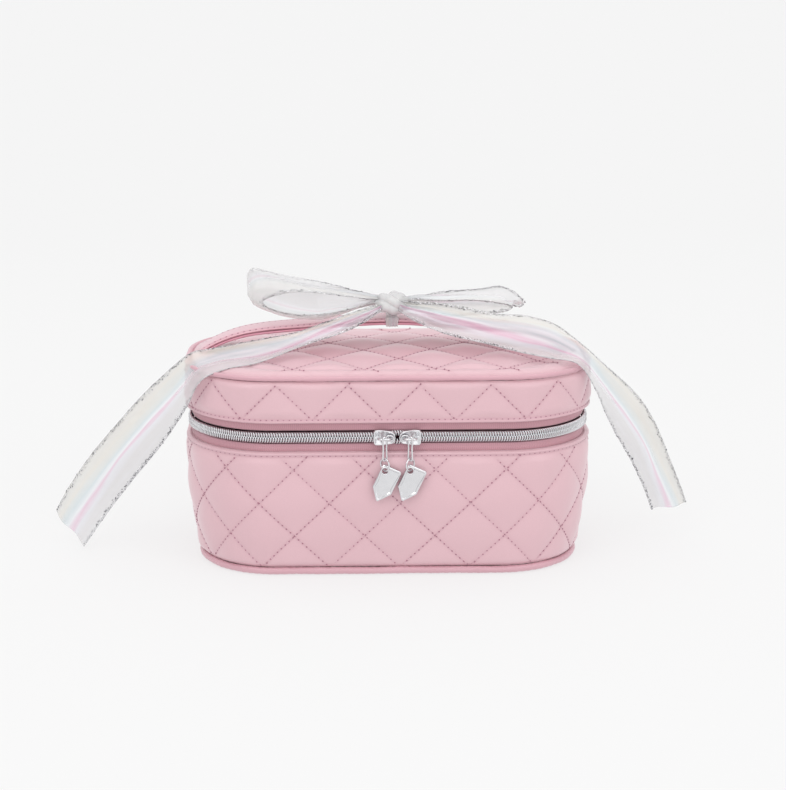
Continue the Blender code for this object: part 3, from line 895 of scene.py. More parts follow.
def sew(
    name: str,
    middles: np.ndarray,
    ways: np.ndarray,
    outward: np.ndarray,
    length: float,
    gap: float,
    body: str,
) -> None:
    """A row of stitches as thread and needle holes; the holes are dark beads of painted shade.

    Args:
        name: Start of the pieces' names.
        middles: Middles of the stitches, N by 3.
        ways: Directions along the stitches, N by 3.
        outward: Unit directions out of the surface, N by 3.
        length: From one hole to the next.
        gap: How much of the length is hole.
        body: The body that the stitches ride on.
    """
    ways = unit(ways)
    sideways = unit(np.cross(outward, ways))
    outward = np.cross(ways, sideways)
    turns = np.stack([ways, sideways, outward], axis=2)
    on_top, at_hole = middles + outward * 0.00002, middles + ways * length / 2 + outward * 0.00004
    thread = copies(name + "_thread", bead(length - gap, 0.00025), on_top, turns)
    # Painted shade: a dark bead over each needle hole stands for the shadow inside it.
    holes = copies(name + "_holes", bead(0.00100, 0.00040, 6, 4), at_hole, turns)
    fit(thread, Finish.THREAD, body, "quilted_pink")
    fit(holes, Finish.HOLE_SHADE, body, "quilted_pink")


def laid_on(surface: Callable, places: np.ndarray, ways: np.ndarray, length: float) -> tuple:
    """Where stitches come in space when they are laid on a surface.

    Args:
        surface: Gives the surface's points from two arrays of coordinates on it.
        places: Each stitch's two coordinates, N by 2.
        ways: Their unit directions on the surface, N by 2.
        length: From one needle hole to the next.

    Returns:
        The middles and the directions along the stitches, each N by 3.
    """
    start, middle, end = (surface(*(places + ways * step).T) for step in (-length / 2, 0.0, length / 2))
    return middle, end - start


# ---------------------------------------------------------------- padded walls
@dataclass
class QuiltedBand:
    """A quilted band of the wall, round the whole bag, with its folded edge at the zip."""

    name: str
    body: str
    node: str
    low: float
    high: float
    quilting: Quilting
    folded_up: bool
    tapered: bool
    filling: str
    topstitch: float = 0.0020
    step: float = 0.0011
    bare: float = 0.0016

    def inset(self, z: np.ndarray) -> np.ndarray:
        """How far the wall is drawn in at a height."""
        return FORM.base_inset(z) if self.tapered else np.zeros_like(z)

    def edge_row(self) -> float:
        """Height of the row of stitches beside the zip."""
        return self.high - self.topstitch if self.folded_up else self.low + self.topstitch

    def lift(self, run: np.ndarray, z: np.ndarray) -> np.ndarray:
        """How far the skin stands out from the plain wall at a place.

        Args:
            run: Distance along the plan from the middle of the front.
            z: Height.

        Returns:
            Distances outward.
        """
        from_fold = (self.high - z) if self.folded_up else (z - self.low)
        from_seam = (z - self.low) if self.folded_up else (self.high - z)
        puff = self.quilting.height(run, z)
        rolled = smooth((from_fold - self.topstitch) / 0.0045)
        seam = smooth((from_seam + 0.0002) / 0.0042)
        lift = puff * rolled * seam
        # The folded edge is a soft roll between the edge and the row of stitches.
        lift = lift + 0.00062 * np.sin(np.clip(from_fold / self.topstitch, 0, 1) * math.pi) ** 0.6
        pull = needle_pull(run, STITCH)
        lift = lift - 0.00038 * bell(from_fold - self.topstitch, 0.00085) * (0.45 + 0.55 * pull)
        lift = lift - 0.0011 * (1 - smooth(from_fold / 0.0011)) ** 2
        lift = lift - 0.0013 * (1 - smooth(from_seam / 0.0026)) ** 2
        # Soft unevenness, and short puckers drawn in at the seams.
        lift = lift + 0.00028 * wobble(run * 62, z * 95, seed=self.low * 40)
        lift = lift + 0.00016 * wobble(run * 640, z * 210, seed=3) * bell(from_seam, 0.006)
        lift = lift + 0.00010 * wobble(run * 830, z * 300, seed=5) * bell(from_fold - self.topstitch, 0.003)
        return lift

    def place(self, run: np.ndarray, z: np.ndarray, out: np.ndarray) -> np.ndarray:
        """Points at a place of the wall, moved outward.

        Args:
            run: Distance along the plan.
            z: Height.
            out: Distance outward from the plain wall.

        Returns:
            Points with a last axis of 3.
        """
        points, outward = FORM.trace(run)
        return raised(points + outward * (out - self.inset(z))[..., None], z)

    def build(self) -> None:
        """Makes the skin and its stitches."""
        runs = FORM.once_round(int(FORM.around / self.step))
        tall = self.high - self.low
        heights = np.linspace(self.low, self.high, int(tall / self.step) + 1)
        # The rows lie closer together at both edges, where the skin turns in.
        edge = 0.0012
        at_low, at_high = np.linspace(0, edge, 4)[:-1], tall - np.linspace(edge, 0, 4)[1:]
        fine = np.concatenate([at_low, heights[1:-1] - self.low, at_high])
        heights = self.low + np.unique(np.round(fine, 6))
        z, run = np.meshgrid(heights, runs, indexing="ij")
        outside = self.surface(run, z)
        back = -FORM.wall + 0.0004
        zi, ri = np.meshgrid(np.array([self.high, self.low]), runs, indexing="ij")
        inside = self.place(ri, zi, np.full_like(ri, back))
        middle = self.place(ri, zi, np.full_like(ri, back / 2))
        points = np.concatenate([outside, middle[:1], inside, middle[1:]], axis=0)
        skin = grid(self.name, points, wrap_rows=True, wrap_columns=True)
        # Painted shade along the diamonds' valleys and the groove of the row of stitches beside the zip.
        crease_shade = np.zeros(points.shape[:2])
        edge_row_shade = 0.35 * bell(z - self.edge_row(), 0.0010)
        crease_shade[: len(heights)] = np.maximum(self.quilting.crease_shade(run, z), edge_row_shade)
        keep_value(skin, "crease_shade", crease_shade)
        fit(skin, Finish.QUILTED, self.body, "quilted_pink", self.node, self.filling)
        self.stitch()

    def surface(self, run: np.ndarray, z: np.ndarray) -> np.ndarray:
        """Points on the skin."""
        return self.place(run, z, self.lift(run, z))

    def stitch(self) -> None:
        """Sews the diamonds and the row beside the zip."""
        low, high = self.low + self.bare, self.high - self.bare
        row = self.edge_row()
        off_row = 0.0012
        if self.folded_up:
            high = row - off_row
        else:
            low = row + off_row
        places, ways = self.quilting.stitches((-FORM.around / 2, FORM.around / 2), (low, high))
        self.sew_on(self.name + "_diamond", places, ways, self.quilting.stitch, NEEDLE_GAP)
        count = int(FORM.around / STITCH)
        row_places = np.stack([FORM.once_round(count, 0.5), np.full(count, row)], axis=1)
        row_ways = np.repeat(np.array([[1.0, 0.0]]), count, axis=0)
        self.sew_on(self.name + "_edge", row_places, row_ways, FORM.around / count, 0.0008)

    def sew_on(self, name: str, places: np.ndarray, ways: np.ndarray, length: float, gap: float) -> None:
        """Lays stitches on the skin.

        Args:
            name: Start of the pieces' names.
            places: Distance along and height of each stitch.
            ways: Their directions on the skin.
            length: From one needle hole to the next.
            gap: How much of that is hole.
        """
        middle, along = laid_on(self.surface, places, ways, length)
        out = raised(FORM.trace(places[:, 0])[1], 0.0)
        sew(name, middle + out * 0.00008, along, out, length, gap, self.body)


@dataclass
class TopPanel:
    """The quilted, padded top of the lid."""

    edge_z: float
    rise: float = 0.0040
    inset: float = 0.0020
    quilting: Quilting = Quilting(0.0374, 0.0052, -0.0300, 0.0019, 0.60)
    rings: int = 66
    around: int = 460
    bare: float = 0.0042

    def plan(self, run: np.ndarray, share: np.ndarray) -> np.ndarray:
        """X and Y at a place round the plan and a share of the way out from the middle."""
        points, outward = FORM.trace(run)
        return (points - outward * self.inset) * share[..., None]

    def height(self, x: np.ndarray, y: np.ndarray, share: np.ndarray) -> np.ndarray:
        """The skin's height.

        Args:
            x: Distance across.
            y: Distance back.
            share: How far out towards the edge, 0 to 1.

        Returns:
            Heights.
        """
        dome = self.rise * (1 - share**3.0)
        away = (1 - share) * FORM.half_d
        rolled = smooth((away - 0.0055) / 0.0075)
        puff = self.quilting.height(x, y)
        z = self.edge_z + dome * smooth(away / 0.012) + puff * rolled
        z = z + 0.0021 * np.sin(np.clip(away / 0.0085, 0, 1) * math.pi) ** 0.75
        z = z - 0.0014 * (1 - smooth(away / 0.0016)) ** 2
        z = z + 0.0006 * wobble(x * 55, y * 70, seed=7) * rolled
        return z + 0.00016 * wobble(x * 420, y * 520, seed=2) * bell(away, 0.012)

    def surface(self, x: np.ndarray, y: np.ndarray) -> np.ndarray:
        """Points of the skin at chosen X and Y."""
        return np.stack([x, y, self.height(x, y, self.share_at(x, y))], axis=-1)

    def share_at(self, x: np.ndarray, y: np.ndarray) -> np.ndarray:
        """How far out towards the edge a place is, 0 to 1."""
        width, depth = FORM.half_w - self.inset, FORM.half_d - self.inset
        radius = FORM.corner - self.inset
        low, high = np.zeros_like(x), np.full_like(x, 1.5)
        for _ in range(30):
            share = (low + high) / 2
            px, py = np.abs(x) / share.clip(1e-6), np.abs(y) / share.clip(1e-6)
            dx, dy = np.maximum(px - (width - radius), 0), np.maximum(py - (depth - radius), 0)
            inside = (np.hypot(dx, dy) <= radius) & (px <= width) & (py <= depth)
            high = np.where(inside, share, high)
            low = np.where(inside, low, share)
        return (low + high) / 2

    def build(self) -> None:
        """Makes the skin and its stitches."""
        runs = FORM.once_round(self.around)
        shares = np.concatenate([[1.0], 1 - np.linspace(0.004, 0.965, self.rings)])
        share, run = np.meshgrid(shares, runs, indexing="ij")
        flat = self.plan(run, share)
        top = raised(flat, self.height(flat[..., 0], flat[..., 1], share))
        under_share, under_run = np.meshgrid(np.array([0.03, 0.5, 0.985]), runs, indexing="ij")
        under = raised(self.plan(under_run, under_share), self.edge_z - 0.0021)
        rows = np.concatenate([top, under], axis=0)
        skin = grid("top_panel_quilted", rows, wrap_columns=True)
        middle = np.zeros(1)
        self.close(skin, rows, len(shares), self.height(middle, middle, middle)[0])
        # Painted shade along the diamonds' valleys, on the top only.
        crease_shade = self.quilting.crease_shade(rows[..., 0], rows[..., 1])
        crease_shade[len(shares):] = 0
        stored = np.zeros(len(skin.data.vertices))
        stored[: crease_shade.size] = crease_shade.ravel()
        keep_value(skin, "crease_shade", stored)
        fit(skin, Finish.QUILTED, "lid", "quilted_pink", "lid_top_panel")
        self.stitch()

    def close(self, skin: bpy.types.Object, rows: np.ndarray, top_rows: int, middle_z: float) -> None:
        """Closes the small hole in the middle, above and below, and joins the skin to its underside.

        Args:
            skin: The piece.
            rows: Its rows of points.
            top_rows: How many of the rows are on top.
            middle_z: Height of the middle.
        """
        count = rows.shape[1]
        bm = bmesh.new()
        bm.from_mesh(skin.data)
        bm.verts.ensure_lookup_table()
        wanted = (top_rows - 1, top_rows, top_rows + 2, 0)
        last_top, first_under, last_under, rim = (
            [bm.verts[row * count + k] for k in range(count)] for row in wanted
        )
        bm.faces.ensure_lookup_table()
        wrong = [f for f in bm.faces if {v.index // count for v in f.verts} == {top_rows - 1, top_rows}]
        bmesh.ops.delete(bm, geom=wrong, context="FACES_ONLY")
        centre = bm.verts.new((0, 0, middle_z))
        below = bm.verts.new((0, 0, rows[top_rows, 0, 2]))
        for k in range(count):
            n = (k + 1) % count
            bm.faces.new((last_top[k], last_top[n], centre)).smooth = True
            bm.faces.new((first_under[n], first_under[k], below)).smooth = True
            bm.faces.new((last_under[k], last_under[n], rim[n], rim[k])).smooth = True
        bmesh.ops.recalc_face_normals(bm, faces=bm.faces[:])
        bm.to_mesh(skin.data)
        bm.free()

    def stitch(self) -> None:
        """Sews the diamonds."""
        places, ways = self.quilting.stitches((-FORM.half_w, FORM.half_w), (-FORM.half_d, FORM.half_d))
        inside = self.share_at(*places.T) < 1 - self.bare / FORM.half_d
        stitch = self.quilting.stitch
        middle, along = laid_on(self.surface, places[inside], ways[inside], stitch)
        up = np.repeat(np.array([[0.0, 0.0, 1.0]]), len(middle), axis=0)
        sew("top_panel_diamond", middle + up * 0.0001, along, up, stitch, NEEDLE_GAP, "lid")


@dataclass
class Piping:
    """A covered cord sewn in a seam all round the bag."""

    name: str
    body: str
    node: str
    z: float
    inset: float
    radius: float
    around: int = 900
    sides: int = 16

    def build(self) -> None:
        """Makes the covered cord with its crosswise wrinkles."""
        runs = FORM.once_round(self.around)
        points, outward = FORM.trace(runs)
        line = raised(points - outward * self.inset, self.z)
        line[:, 2] += 0.00012 * wobble(runs * 90, seed=self.z * 10)
        angle = np.arange(self.sides) * 2 * math.pi / self.sides
        tight = 1 + 0.045 * wobble(runs * 1450, seed=1) + 0.03 * wobble(runs * 300, seed=4)
        reach = self.radius * tight[:, None] * (1 + 0.05 * np.sin(angle * 2)[None])
        sideways = (reach * np.cos(angle)[None])[..., None] * raised(outward, 0.0)[:, None]
        upward = (reach * np.sin(angle)[None])[..., None] * np.array([0.0, 0.0, 1.0])
        cover = grid(self.name, line[:, None] + sideways + upward, wrap_rows=True, wrap_columns=True)
        fit(cover, Finish.PIPED, self.body, "piping_pink", self.node)


# ---------------------------------------------------------------- the base and the lid
@dataclass
class Base:
    """The bottom part: quilted wall, piped bottom panel and lining; its board and its half of the zip are
    made by other steps.
    """

    wall: QuiltedBand = field(
        default_factory=lambda: QuiltedBand(
            "base_wall_quilted",
            "base",
            "base_wall",
            FORM.base_low,
            FORM.base_high,
            Quilting(FORM.around / 16, -0.0135, 0.0605, 0.00150),
            folded_up=True,
            tapered=True,
            filling="base_foam",
        )
    )

    def build(self) -> None:
        """Makes the wall, the piping, the bottom panel and the lining."""
        self.wall.build()
        Piping("bottom_piping_cord", "base", "bottom_piping", 0.0024, 0.0072, 0.0020).build()
        self.bottom()
        rim_z = FORM.base_high + 0.002
        LiningCup("base_lining_cup", "base", "base_lining", 0.0052, 0.0049, rim_z, False).build()

    def bottom(self) -> None:
        """Makes the bottom panel with its pressed grain and its edge seam."""
        low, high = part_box("bottom_panel")
        points, outward = FORM.trace(FORM.once_round(300))
        edge = points - outward * 0.0095
        share = np.linspace(1.0, 0.02, 40)
        flat = edge[None] * share[:, None, None]
        away = (1 - share)[:, None] * FORM.half_d
        sag = 0.0001 + 0.0002 * (1 + wobble(flat[..., 0] * 60, flat[..., 1] * 80, seed=9))
        tuck = 0.0010 * (1 - smooth(away / 0.003)) ** 2 + 0.0004 * bell(away - 0.004, 0.0007)
        both = np.concatenate([raised(flat, low.z + sag + tuck), raised(flat[::-1], high.z - 0.0001)])
        panel = grid("bottom_panel_leather", both, wrap_rows=True, wrap_columns=True)
        fit(panel, Finish.PLAIN, "base", "quilted_pink", "bottom_panel")


@dataclass
class LiningCup:
    """A sewn lining: a floor and walls of cloth with soft wrinkles and a seam at the floor."""

    name: str
    body: str
    node: str
    inset: float
    floor_z: float
    rim_z: float
    upside_down: bool
    cloth: float = 0.0004

    def build(self) -> None:
        """Makes the cup between its floor and its rim."""
        runs = FORM.once_round(380)
        points, outward = FORM.trace(runs)
        sign = -1.0 if self.upside_down else 1.0
        depth = abs(self.rim_z - self.floor_z)
        turned = 0.004
        up = np.concatenate([np.linspace(0, turned, 5)[:-1], np.linspace(turned, depth, 34)])
        rows = []
        for rise in up:
            z = self.floor_z + sign * rise
            drawn = FORM.base_inset(np.array(z)) if not self.upside_down else 0.0
            wrinkle = wobble(runs * 210, np.full(len(runs), rise * 90), seed=rise * 20)
            fold = 0.00045 * wrinkle * math.sin(math.pi * min(rise / depth, 1))
            round_in = 0.0030 * (1 - smooth(np.array(rise / turned)))
            seam = 0.0004 * bell(np.array(rise - 0.0045), 0.0008)
            offset = self.inset + drawn + 0.00045 + np.abs(fold) + round_in + seam
            rows.append(raised(points - outward * offset[:, None], z))
        floor = []
        for share in np.linspace(0.985, 0.0006, 32):
            flat = rows[0][:, :2] * share
            wave = 0.00022 * (1 + wobble(flat[:, 0] * 120, flat[:, 1] * 150, seed=4))
            floor.append(raised(flat, self.floor_z + sign * (0.0001 + wave)))
        cup = grid(self.name, np.array([*reversed(floor), *rows]), wrap_columns=True)
        thicken(cup, self.cloth, 1.0 if self.upside_down else -1.0)
        fit(cup, Finish.LINING, self.body, "lining_pink", self.node)


@dataclass
class Lid:
    """The hinged top: quilted wall, piping, padded top panel and lining."""

    wall: QuiltedBand = field(
        default_factory=lambda: QuiltedBand(
            "lid_wall_quilted",
            "lid",
            "lid_wall",
            FORM.lid_low,
            FORM.lid_high + 0.0019,
            Quilting(FORM.around / 16, -0.0034, 0.0875, 0.0013),
            folded_up=False,
            tapered=False,
            filling="lid_wall_foam",
        )
    )

    def build(self) -> None:
        """Makes the wall, the piping, the padded panel and the lining."""
        self.wall.build()
        Piping("top_piping_cord", "lid", "top_piping", FORM.top_z + 0.0012, 0.0010, 0.0014).build()
        TopPanel(FORM.top_z + 0.0018).build()
        floor_z, rim_z = FORM.lid_high - 0.0021, FORM.lid_low - 0.002
        LiningCup("lid_lining_cup", "lid", "lid_lining", 0.0054, floor_z, rim_z, True).build()


@dataclass
class HingeStrip:
    """The strip of wall fabric that joins lid and base behind, where the bag folds."""

    thick: float = 0.0011

    def build(self) -> None:
        """Makes the strip between base and lid."""
        low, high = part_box("rear_hinge_strip")
        zz, xx = np.meshgrid(np.linspace(low.z, high.z, 26), np.linspace(low.x, high.x, 130), indexing="ij")
        rib = 0.00022 * np.sin((zz - low.z) / (high.z - low.z) * 6 * math.pi)
        sag = -0.0004 + rib + 0.00012 * wobble(xx * 260, zz * 400, seed=6)
        strip = grid("hinge_strip_fabric", np.stack([xx, high.y + sag, zz], axis=-1))
        thicken(strip, self.thick, 1.0)
        dress(strip, Finish.PLAIN)
        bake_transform(strip)
        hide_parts("rear_hinge_strip")


# ---------------------------------------------------------------- the zip
@dataclass
class ZipTape:
    """One side's woven tape, with its thicker ribs along the coil."""

    name: str
    body: str
    node: str
    low: float
    high: float
    step: float = 0.0013
    thick: float = 0.0007

    def build(self) -> None:
        """Makes the tape between the two ends of the zip."""
        reach = FORM.zip_reach
        runs = np.linspace(-reach, reach, int(2 * reach / self.step))
        zz, rr = np.meshgrid(np.linspace(self.low, self.high, 22), runs, indexing="ij")
        from_teeth = np.abs(zz - FORM.zip_z)
        out = -0.0037 + 0.00022 * bell(from_teeth - 0.0046, 0.0005)
        out = out + 0.00018 * bell(from_teeth - 0.0061, 0.0005)
        out = out + 0.00022 * wobble(rr * 70, zz * 160, seed=self.low * 100)
        out = out + 0.00025 * bell(from_teeth - 0.0078, 0.0016)
        points, outward = FORM.trace(rr)
        tape = grid(self.name, raised(points + outward * out[..., None], zz))
        keep_value(tape, "across", zz)
        keep_value(tape, "along", rr)
        thicken(tape, self.thick, 1.0)
        fit(tape, Finish.TAPE, self.body, "zip_tape_pink", self.node)


@dataclass
class ZipCoil:
    """One side's coil: a real helix of plated filament, with the cord it is sewn to."""

    name: str
    body: str
    node: str
    side: int
    pitch: float = 0.00138
    wire: float = 0.00043
    half_height: float = 0.00148
    half_depth: float = 0.00085
    behind: float = 0.0021
    cord: float = 0.00042
    sides: int = 7
    steps: int = 12

    def opened(self, run: np.ndarray) -> np.ndarray:
        """How far the two rows stand apart where the sliders hold the zip open."""
        return 0.0011 * bell(run - 0.0037, 0.0062)

    def build(self) -> None:
        """Makes the coil as one long wire along the zip."""
        reach = FORM.zip_reach - 0.0015
        turns = int(2 * reach / self.pitch)
        t = np.arange(turns * self.steps + 1) / self.steps
        phase = 2 * math.pi * t + (0.0 if self.side > 0 else math.pi)
        run = -reach + t * self.pitch
        away = 0.00122 + self.opened(run)
        # Each turn leans: its front half slants along the zip.
        lean = 0.00042 * np.sin(phase)
        z = FORM.zip_z + self.side * (away + self.half_height * 0.92 * np.cos(phase))
        out = -self.behind + self.half_depth * np.sin(phase)
        points, outward = FORM.trace(run + lean)
        coil = tube(self.name, raised(points + outward * out[:, None], z), self.wire, self.sides)
        fit(coil, Finish.TEETH, self.body, "zip_teeth_silver", self.node)
        runs = np.linspace(-reach, reach, 420)
        points, outward = FORM.trace(runs)
        core = raised(points - outward * self.behind, FORM.zip_z + self.side * (0.0013 + self.opened(runs)))
        cord = tube(self.name + "_cord", core, self.cord, self.sides)
        fit(cord, Finish.THREAD, self.body, "zip_tape_pink")


@dataclass
class Slider:
    """A zip slider with its bridge, link, jump ring and tag."""

    side: str
    sign: int
    sides: int = 12
    reach: float = 0.0034
    wire: float = 0.00045

    @property
    def middle(self) -> float:
        """The slider's middle along X."""
        low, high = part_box("zip_slider_" + self.side)
        return (low.x + high.x) / 2

    @property
    def front(self) -> float:
        """The front of the bag, along Y."""
        return -FORM.half_d

    def plate(self, name: str, thick: float, y: float) -> bpy.types.Object:
        """A plate: squared at the outer end, narrower and rounded at the inner end, with a raised rim.

        Args:
            name: The piece's name.
            thick: Its thickness.
            y: Where its front face is, behind the bag's front.

        Returns:
            The plate.
        """
        half, tall = 0.0056, 0.0039
        upper = [
            (-half + 0.0004, 0.0018), (-0.0040, 0.0030), (-0.0020, 0.0033), (0.0010, tall),
            (half - 0.0006, 0.0037), (half, 0.0030),
        ]
        lower = [(x, -z) for x, z in reversed(upper)]
        # The outline starts at the squared end and goes round below, so it closes over the top.
        outline = [upper[-1], *lower, (-half, 0.0), *upper[:-1]]
        bm = bmesh.new()
        face = bm.faces.new([bm.verts.new((x * self.sign, 0, z)) for x, z in outline])
        bmesh.ops.recalc_face_normals(bm, faces=[face])
        if face.normal.y > 0:
            face.normal_flip()
        # The rim stands proud of a sunk field, as a pressed plate has it.
        for inset, sunk in ((0.0008, 0.0003), (0.0005, 0.0002)):
            bmesh.ops.inset_individual(bm, faces=[face], thickness=inset)
            bmesh.ops.translate(bm, verts=face.verts[:], vec=(0, sunk, 0))
        mesh = bpy.data.meshes.new(name)
        bm.to_mesh(mesh)
        bm.free()
        plate = thicken(link_piece(name, mesh), thick)
        self.round_off(plate, 0.0003)
        plate.data.transform(Matrix.Translation((self.middle, self.front + y, FORM.zip_z)))
        return plate

    def round_off(self, piece: bpy.types.Object, width: float, segments: int = 3) -> None:
        """Rounds a piece's edges and shades it smooth."""
        bevel = piece.modifiers.new("rounding", "BEVEL")
        bevel.width = width
        bevel.segments = segments
        bevel.limit_method = "ANGLE"
        bevel.angle_limit = math.radians(28)
        apply_modifiers(piece)
        for polygon in piece.data.polygons:
            polygon.use_smooth = True

    def build(self) -> None:
        """Makes the slider body, the bridge and the hanging pieces."""
        plate = self.plate("slider_plate_" + self.side, 0.0011, -0.0002)
        rear = self.plate("slider_back_" + self.side, 0.0010, 0.0045)
        for piece in (plate, rear, self.post(), *self.flanges(), self.rim(), self.bridge()):
            fit(piece, Finish.METAL, "slider_" + self.side, "silver_metal")
        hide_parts("zip_slider_" + self.side)
        self.link()
        self.ring()
        self.tag()

    def spot(self, inward: float, out: float, up: float = 0.0) -> tuple:
        """A place on the slider, from its middle at the bag's front and the height of the teeth."""
        return (self.middle + self.sign * inward, self.front + out, FORM.zip_z + up)

    def post(self) -> bpy.types.Object:
        """The wedge between the teeth that joins the two plates."""
        bpy.ops.mesh.primitive_cylinder_add(vertices=24, radius=0.0011, depth=0.0048)
        post = bpy.context.object
        post.name = "slider_wedge_" + self.side
        post.data.transform(Matrix.Diagonal((1.6, 0.7, 1.0, 1.0)))
        post.data.transform(Matrix.Rotation(math.pi / 2, 4, "X"))
        post.data.transform(Matrix.Translation(self.spot(0.0036, 0.0023)))
        self.round_off(post, 0.0001, 2)
        return post

    def flanges(self) -> list:
        """The folded-in side lips that hold the teeth, above and below."""
        lips = []
        for end, up in (("low", -1), ("top", 1)):
            stations = (
                (-0.0040, 0.0004, 0.0029), (-0.0010, 0.0006, 0.0034), (0.0018, 0.0006, 0.0038),
                (0.0050, 0.0004, 0.0036),
            )
            line = through([self.spot(inward, out, up * away) for inward, out, away in stations], 24)
            lips.append(tube(f"slider_lip_{self.side}_{end}", line, 0.00050, 10))
        return lips

    def rim(self) -> bpy.types.Object:
        """The raised oval collar round the bridge's foot at the inner end."""
        x, y, z = self.spot(-0.0026, -0.0007)
        angle = np.linspace(0, 2 * math.pi, 40, endpoint=False)
        across, up = x + 0.0020 * np.cos(angle), z + 0.0014 * np.sin(angle)
        line = np.stack([across, np.full_like(angle, y), up], axis=1)
        return tube("slider_collar_" + self.side, line, 0.00042, 10, closed=True)

    def bridge(self) -> bpy.types.Object:
        """The arched wire bridge that holds the pull."""
        foot, shoulder, crown = 0.0002, -0.0019, -self.reach
        stations = (
            (-0.0030, foot), (-0.0030, shoulder), (-0.0020, crown + 0.0002), (0.0, crown),
            (0.0020, crown + 0.0002), (0.0032, shoulder), (0.0034, foot),
        )
        line = through([self.spot(inward, out) for inward, out in stations], 44)
        radius = 0.00060 + 0.00018 * np.abs(np.linspace(-1, 1, 44)) ** 3
        return tube("slider_bridge_" + self.side, line, radius, 14)

    def link(self) -> None:
        """The long wire link: two close sides bent from one wire, closed at the bottom."""
        low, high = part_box("pull_link_" + self.side)
        bar = self.front - self.reach
        top, bottom = high.z - self.wire, low.z + self.wire
        half, arc = 0.00135, 12
        flat = []
        for start, centre in ((0.0, top - half), (math.pi, bottom + half)):
            turns = [start + math.pi * k / arc for k in range(arc + 1)]
            flat += [(half * math.cos(turn), centre + half * math.sin(turn)) for turn in turns]
        # The sides lean towards each other a little in the middle.
        pinched = []
        for (x, z), (xn, zn) in zip(flat, flat[1:] + flat[:1]):
            for share in (0.0, 0.25, 0.5, 0.75):
                px, pz = x + (xn - x) * share, z + (zn - z) * share
                waist = 1 - 0.22 * math.exp(-(((pz - (top + bottom) / 2) / 0.0028) ** 2))
                pinched.append((px * waist, pz))
        kept = [pinched[0]]
        for place in pinched[1:]:
            if math.dist(place, kept[-1]) > 0.00018:
                kept.append(place)
        wide = math.radians(38) * -self.sign
        cos, sin = math.cos(wide), math.sin(wide)
        line = np.array([(self.middle + x * cos, bar + x * sin, z) for x, z in kept])
        wire = tube("pull_wire_" + self.side, line, 0.00049, self.sides, closed=True)
        fit(wire, Finish.METAL, "link_" + self.side, "silver_metal", "pull_link_" + self.side)

    def ring(self) -> None:
        """The jump ring, with the small cut where it was closed."""
        low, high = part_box("jump_ring_" + self.side)
        centre = Vector(((low.x + high.x) / 2, (low.y + high.y) / 2, (low.z + high.z) / 2))
        radius = (high.z - low.z) / 2 - self.wire
        turn = math.radians(50) * self.sign
        angle = np.linspace(math.radians(42), math.radians(398), 72)
        flat = radius * np.cos(angle)
        x, y = centre.x + flat * math.cos(turn), centre.y + flat * math.sin(turn)
        line = np.stack([x, y, centre.z + radius * np.sin(angle)], axis=1)
        wire = tube("ring_wire_" + self.side, line, 0.00046, 14)
        fit(wire, Finish.METAL, "ring_" + self.side, "silver_metal", "jump_ring_" + self.side)

    def around_outline(self, corners: list, parts: int) -> np.ndarray:
        """Points along a closed outline with straight sides.

        Args:
            corners: The outline's corners.
            parts: Points on each side.

        Returns:
            The points, N by 2.
        """
        line = []
        for (x, z), (xn, zn) in zip(corners, corners[1:] + corners[:1]):
            line += [(x + (xn - x) * k / parts, z + (zn - z) * k / parts) for k in range(parts)]
        return np.array(line)

    def tag(self) -> None:
        """The flat pointed tag with a raised rim and a hole, hanging by its upper corner."""
        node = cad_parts["zip_tag_" + self.side]
        corners = np.zeros(len(node.data.vertices) * 3)
        node.data.vertices.foreach_get("co", corners)
        depths = corners[1::3]
        y = (depths.min() + depths.max()) / 2
        hang = Vector((self.middle, y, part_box("jump_ring_" + self.side)[0].z + self.wire))
        half, tall, lean = 0.0055, 0.0100, math.radians(25)
        outline = [
            (-half, tall * 0.90), (-half * 0.86, tall), (half * 0.86, tall), (half, tall * 0.90),
            (half, -tall * 0.36), (half * 0.10, -tall), (-half * 0.10, -tall), (-half, -tall * 0.36),
        ]
        hole = (-0.0031, 0.0068)
        bm = bmesh.new()
        outer = self.around_outline(outline, 8)
        away = outer / np.linalg.norm(outer, axis=1, keepdims=True)
        # Rings from the edge inwards: edge, the rim's outer side, its flat crest, its foot, the field.
        thick = 0.00072
        profile = (
            (0.0, 0.0), (0.00022, -0.00046), (0.00055, -thick), (0.00105, -thick), (0.00150, -0.00030),
            (0.0024, -0.00026),
        )
        rings = [(outer - away * shrink * 1.15, depth) for shrink, depth in profile]
        verts = {}
        for face_side in (-1, 1):
            for k, (ring, depth) in enumerate(rings):
                if k == 0 and face_side == 1:
                    verts[(1, 0)] = verts[(-1, 0)]
                    continue
                verts[(face_side, k)] = [bm.verts.new((p[0], -depth * face_side, p[1])) for p in ring]
            for k in range(len(rings) - 1):
                a, b = verts[(face_side, k)], verts[(face_side, k + 1)]
                for i in range(len(a)):
                    n = (i + 1) % len(a)
                    bm.faces.new((a[i], a[n], b[n], b[i]))
            bm.faces.new(verts[(face_side, len(rings) - 1)])
        bmesh.ops.recalc_face_normals(bm, faces=bm.faces[:])
        mesh = bpy.data.meshes.new("tag_plate_" + self.side)
        bm.to_mesh(mesh)
        bm.free()
        tag = link_piece("tag_plate_" + self.side, mesh)
        bpy.ops.mesh.primitive_cylinder_add(vertices=40, radius=0.00155, depth=0.006)
        drill = bpy.context.object
        drill.data.transform(Matrix.Rotation(math.pi / 2, 4, "X"))
        drill.data.transform(Matrix.Translation((hole[0], 0, hole[1])))
        cut = tag.modifiers.new("hole", "BOOLEAN")
        cut.object = drill
        apply_modifiers(tag)
        bpy.data.objects.remove(drill)
        tag.data.shade_smooth()
        tag.data.set_sharp_from_angle(angle=math.radians(22))
        angle = np.linspace(0, 2 * math.pi, 36, endpoint=False)
        eye = 0.00188
        x, z = hole[0] + eye * np.cos(angle), hole[1] + eye * np.sin(angle)
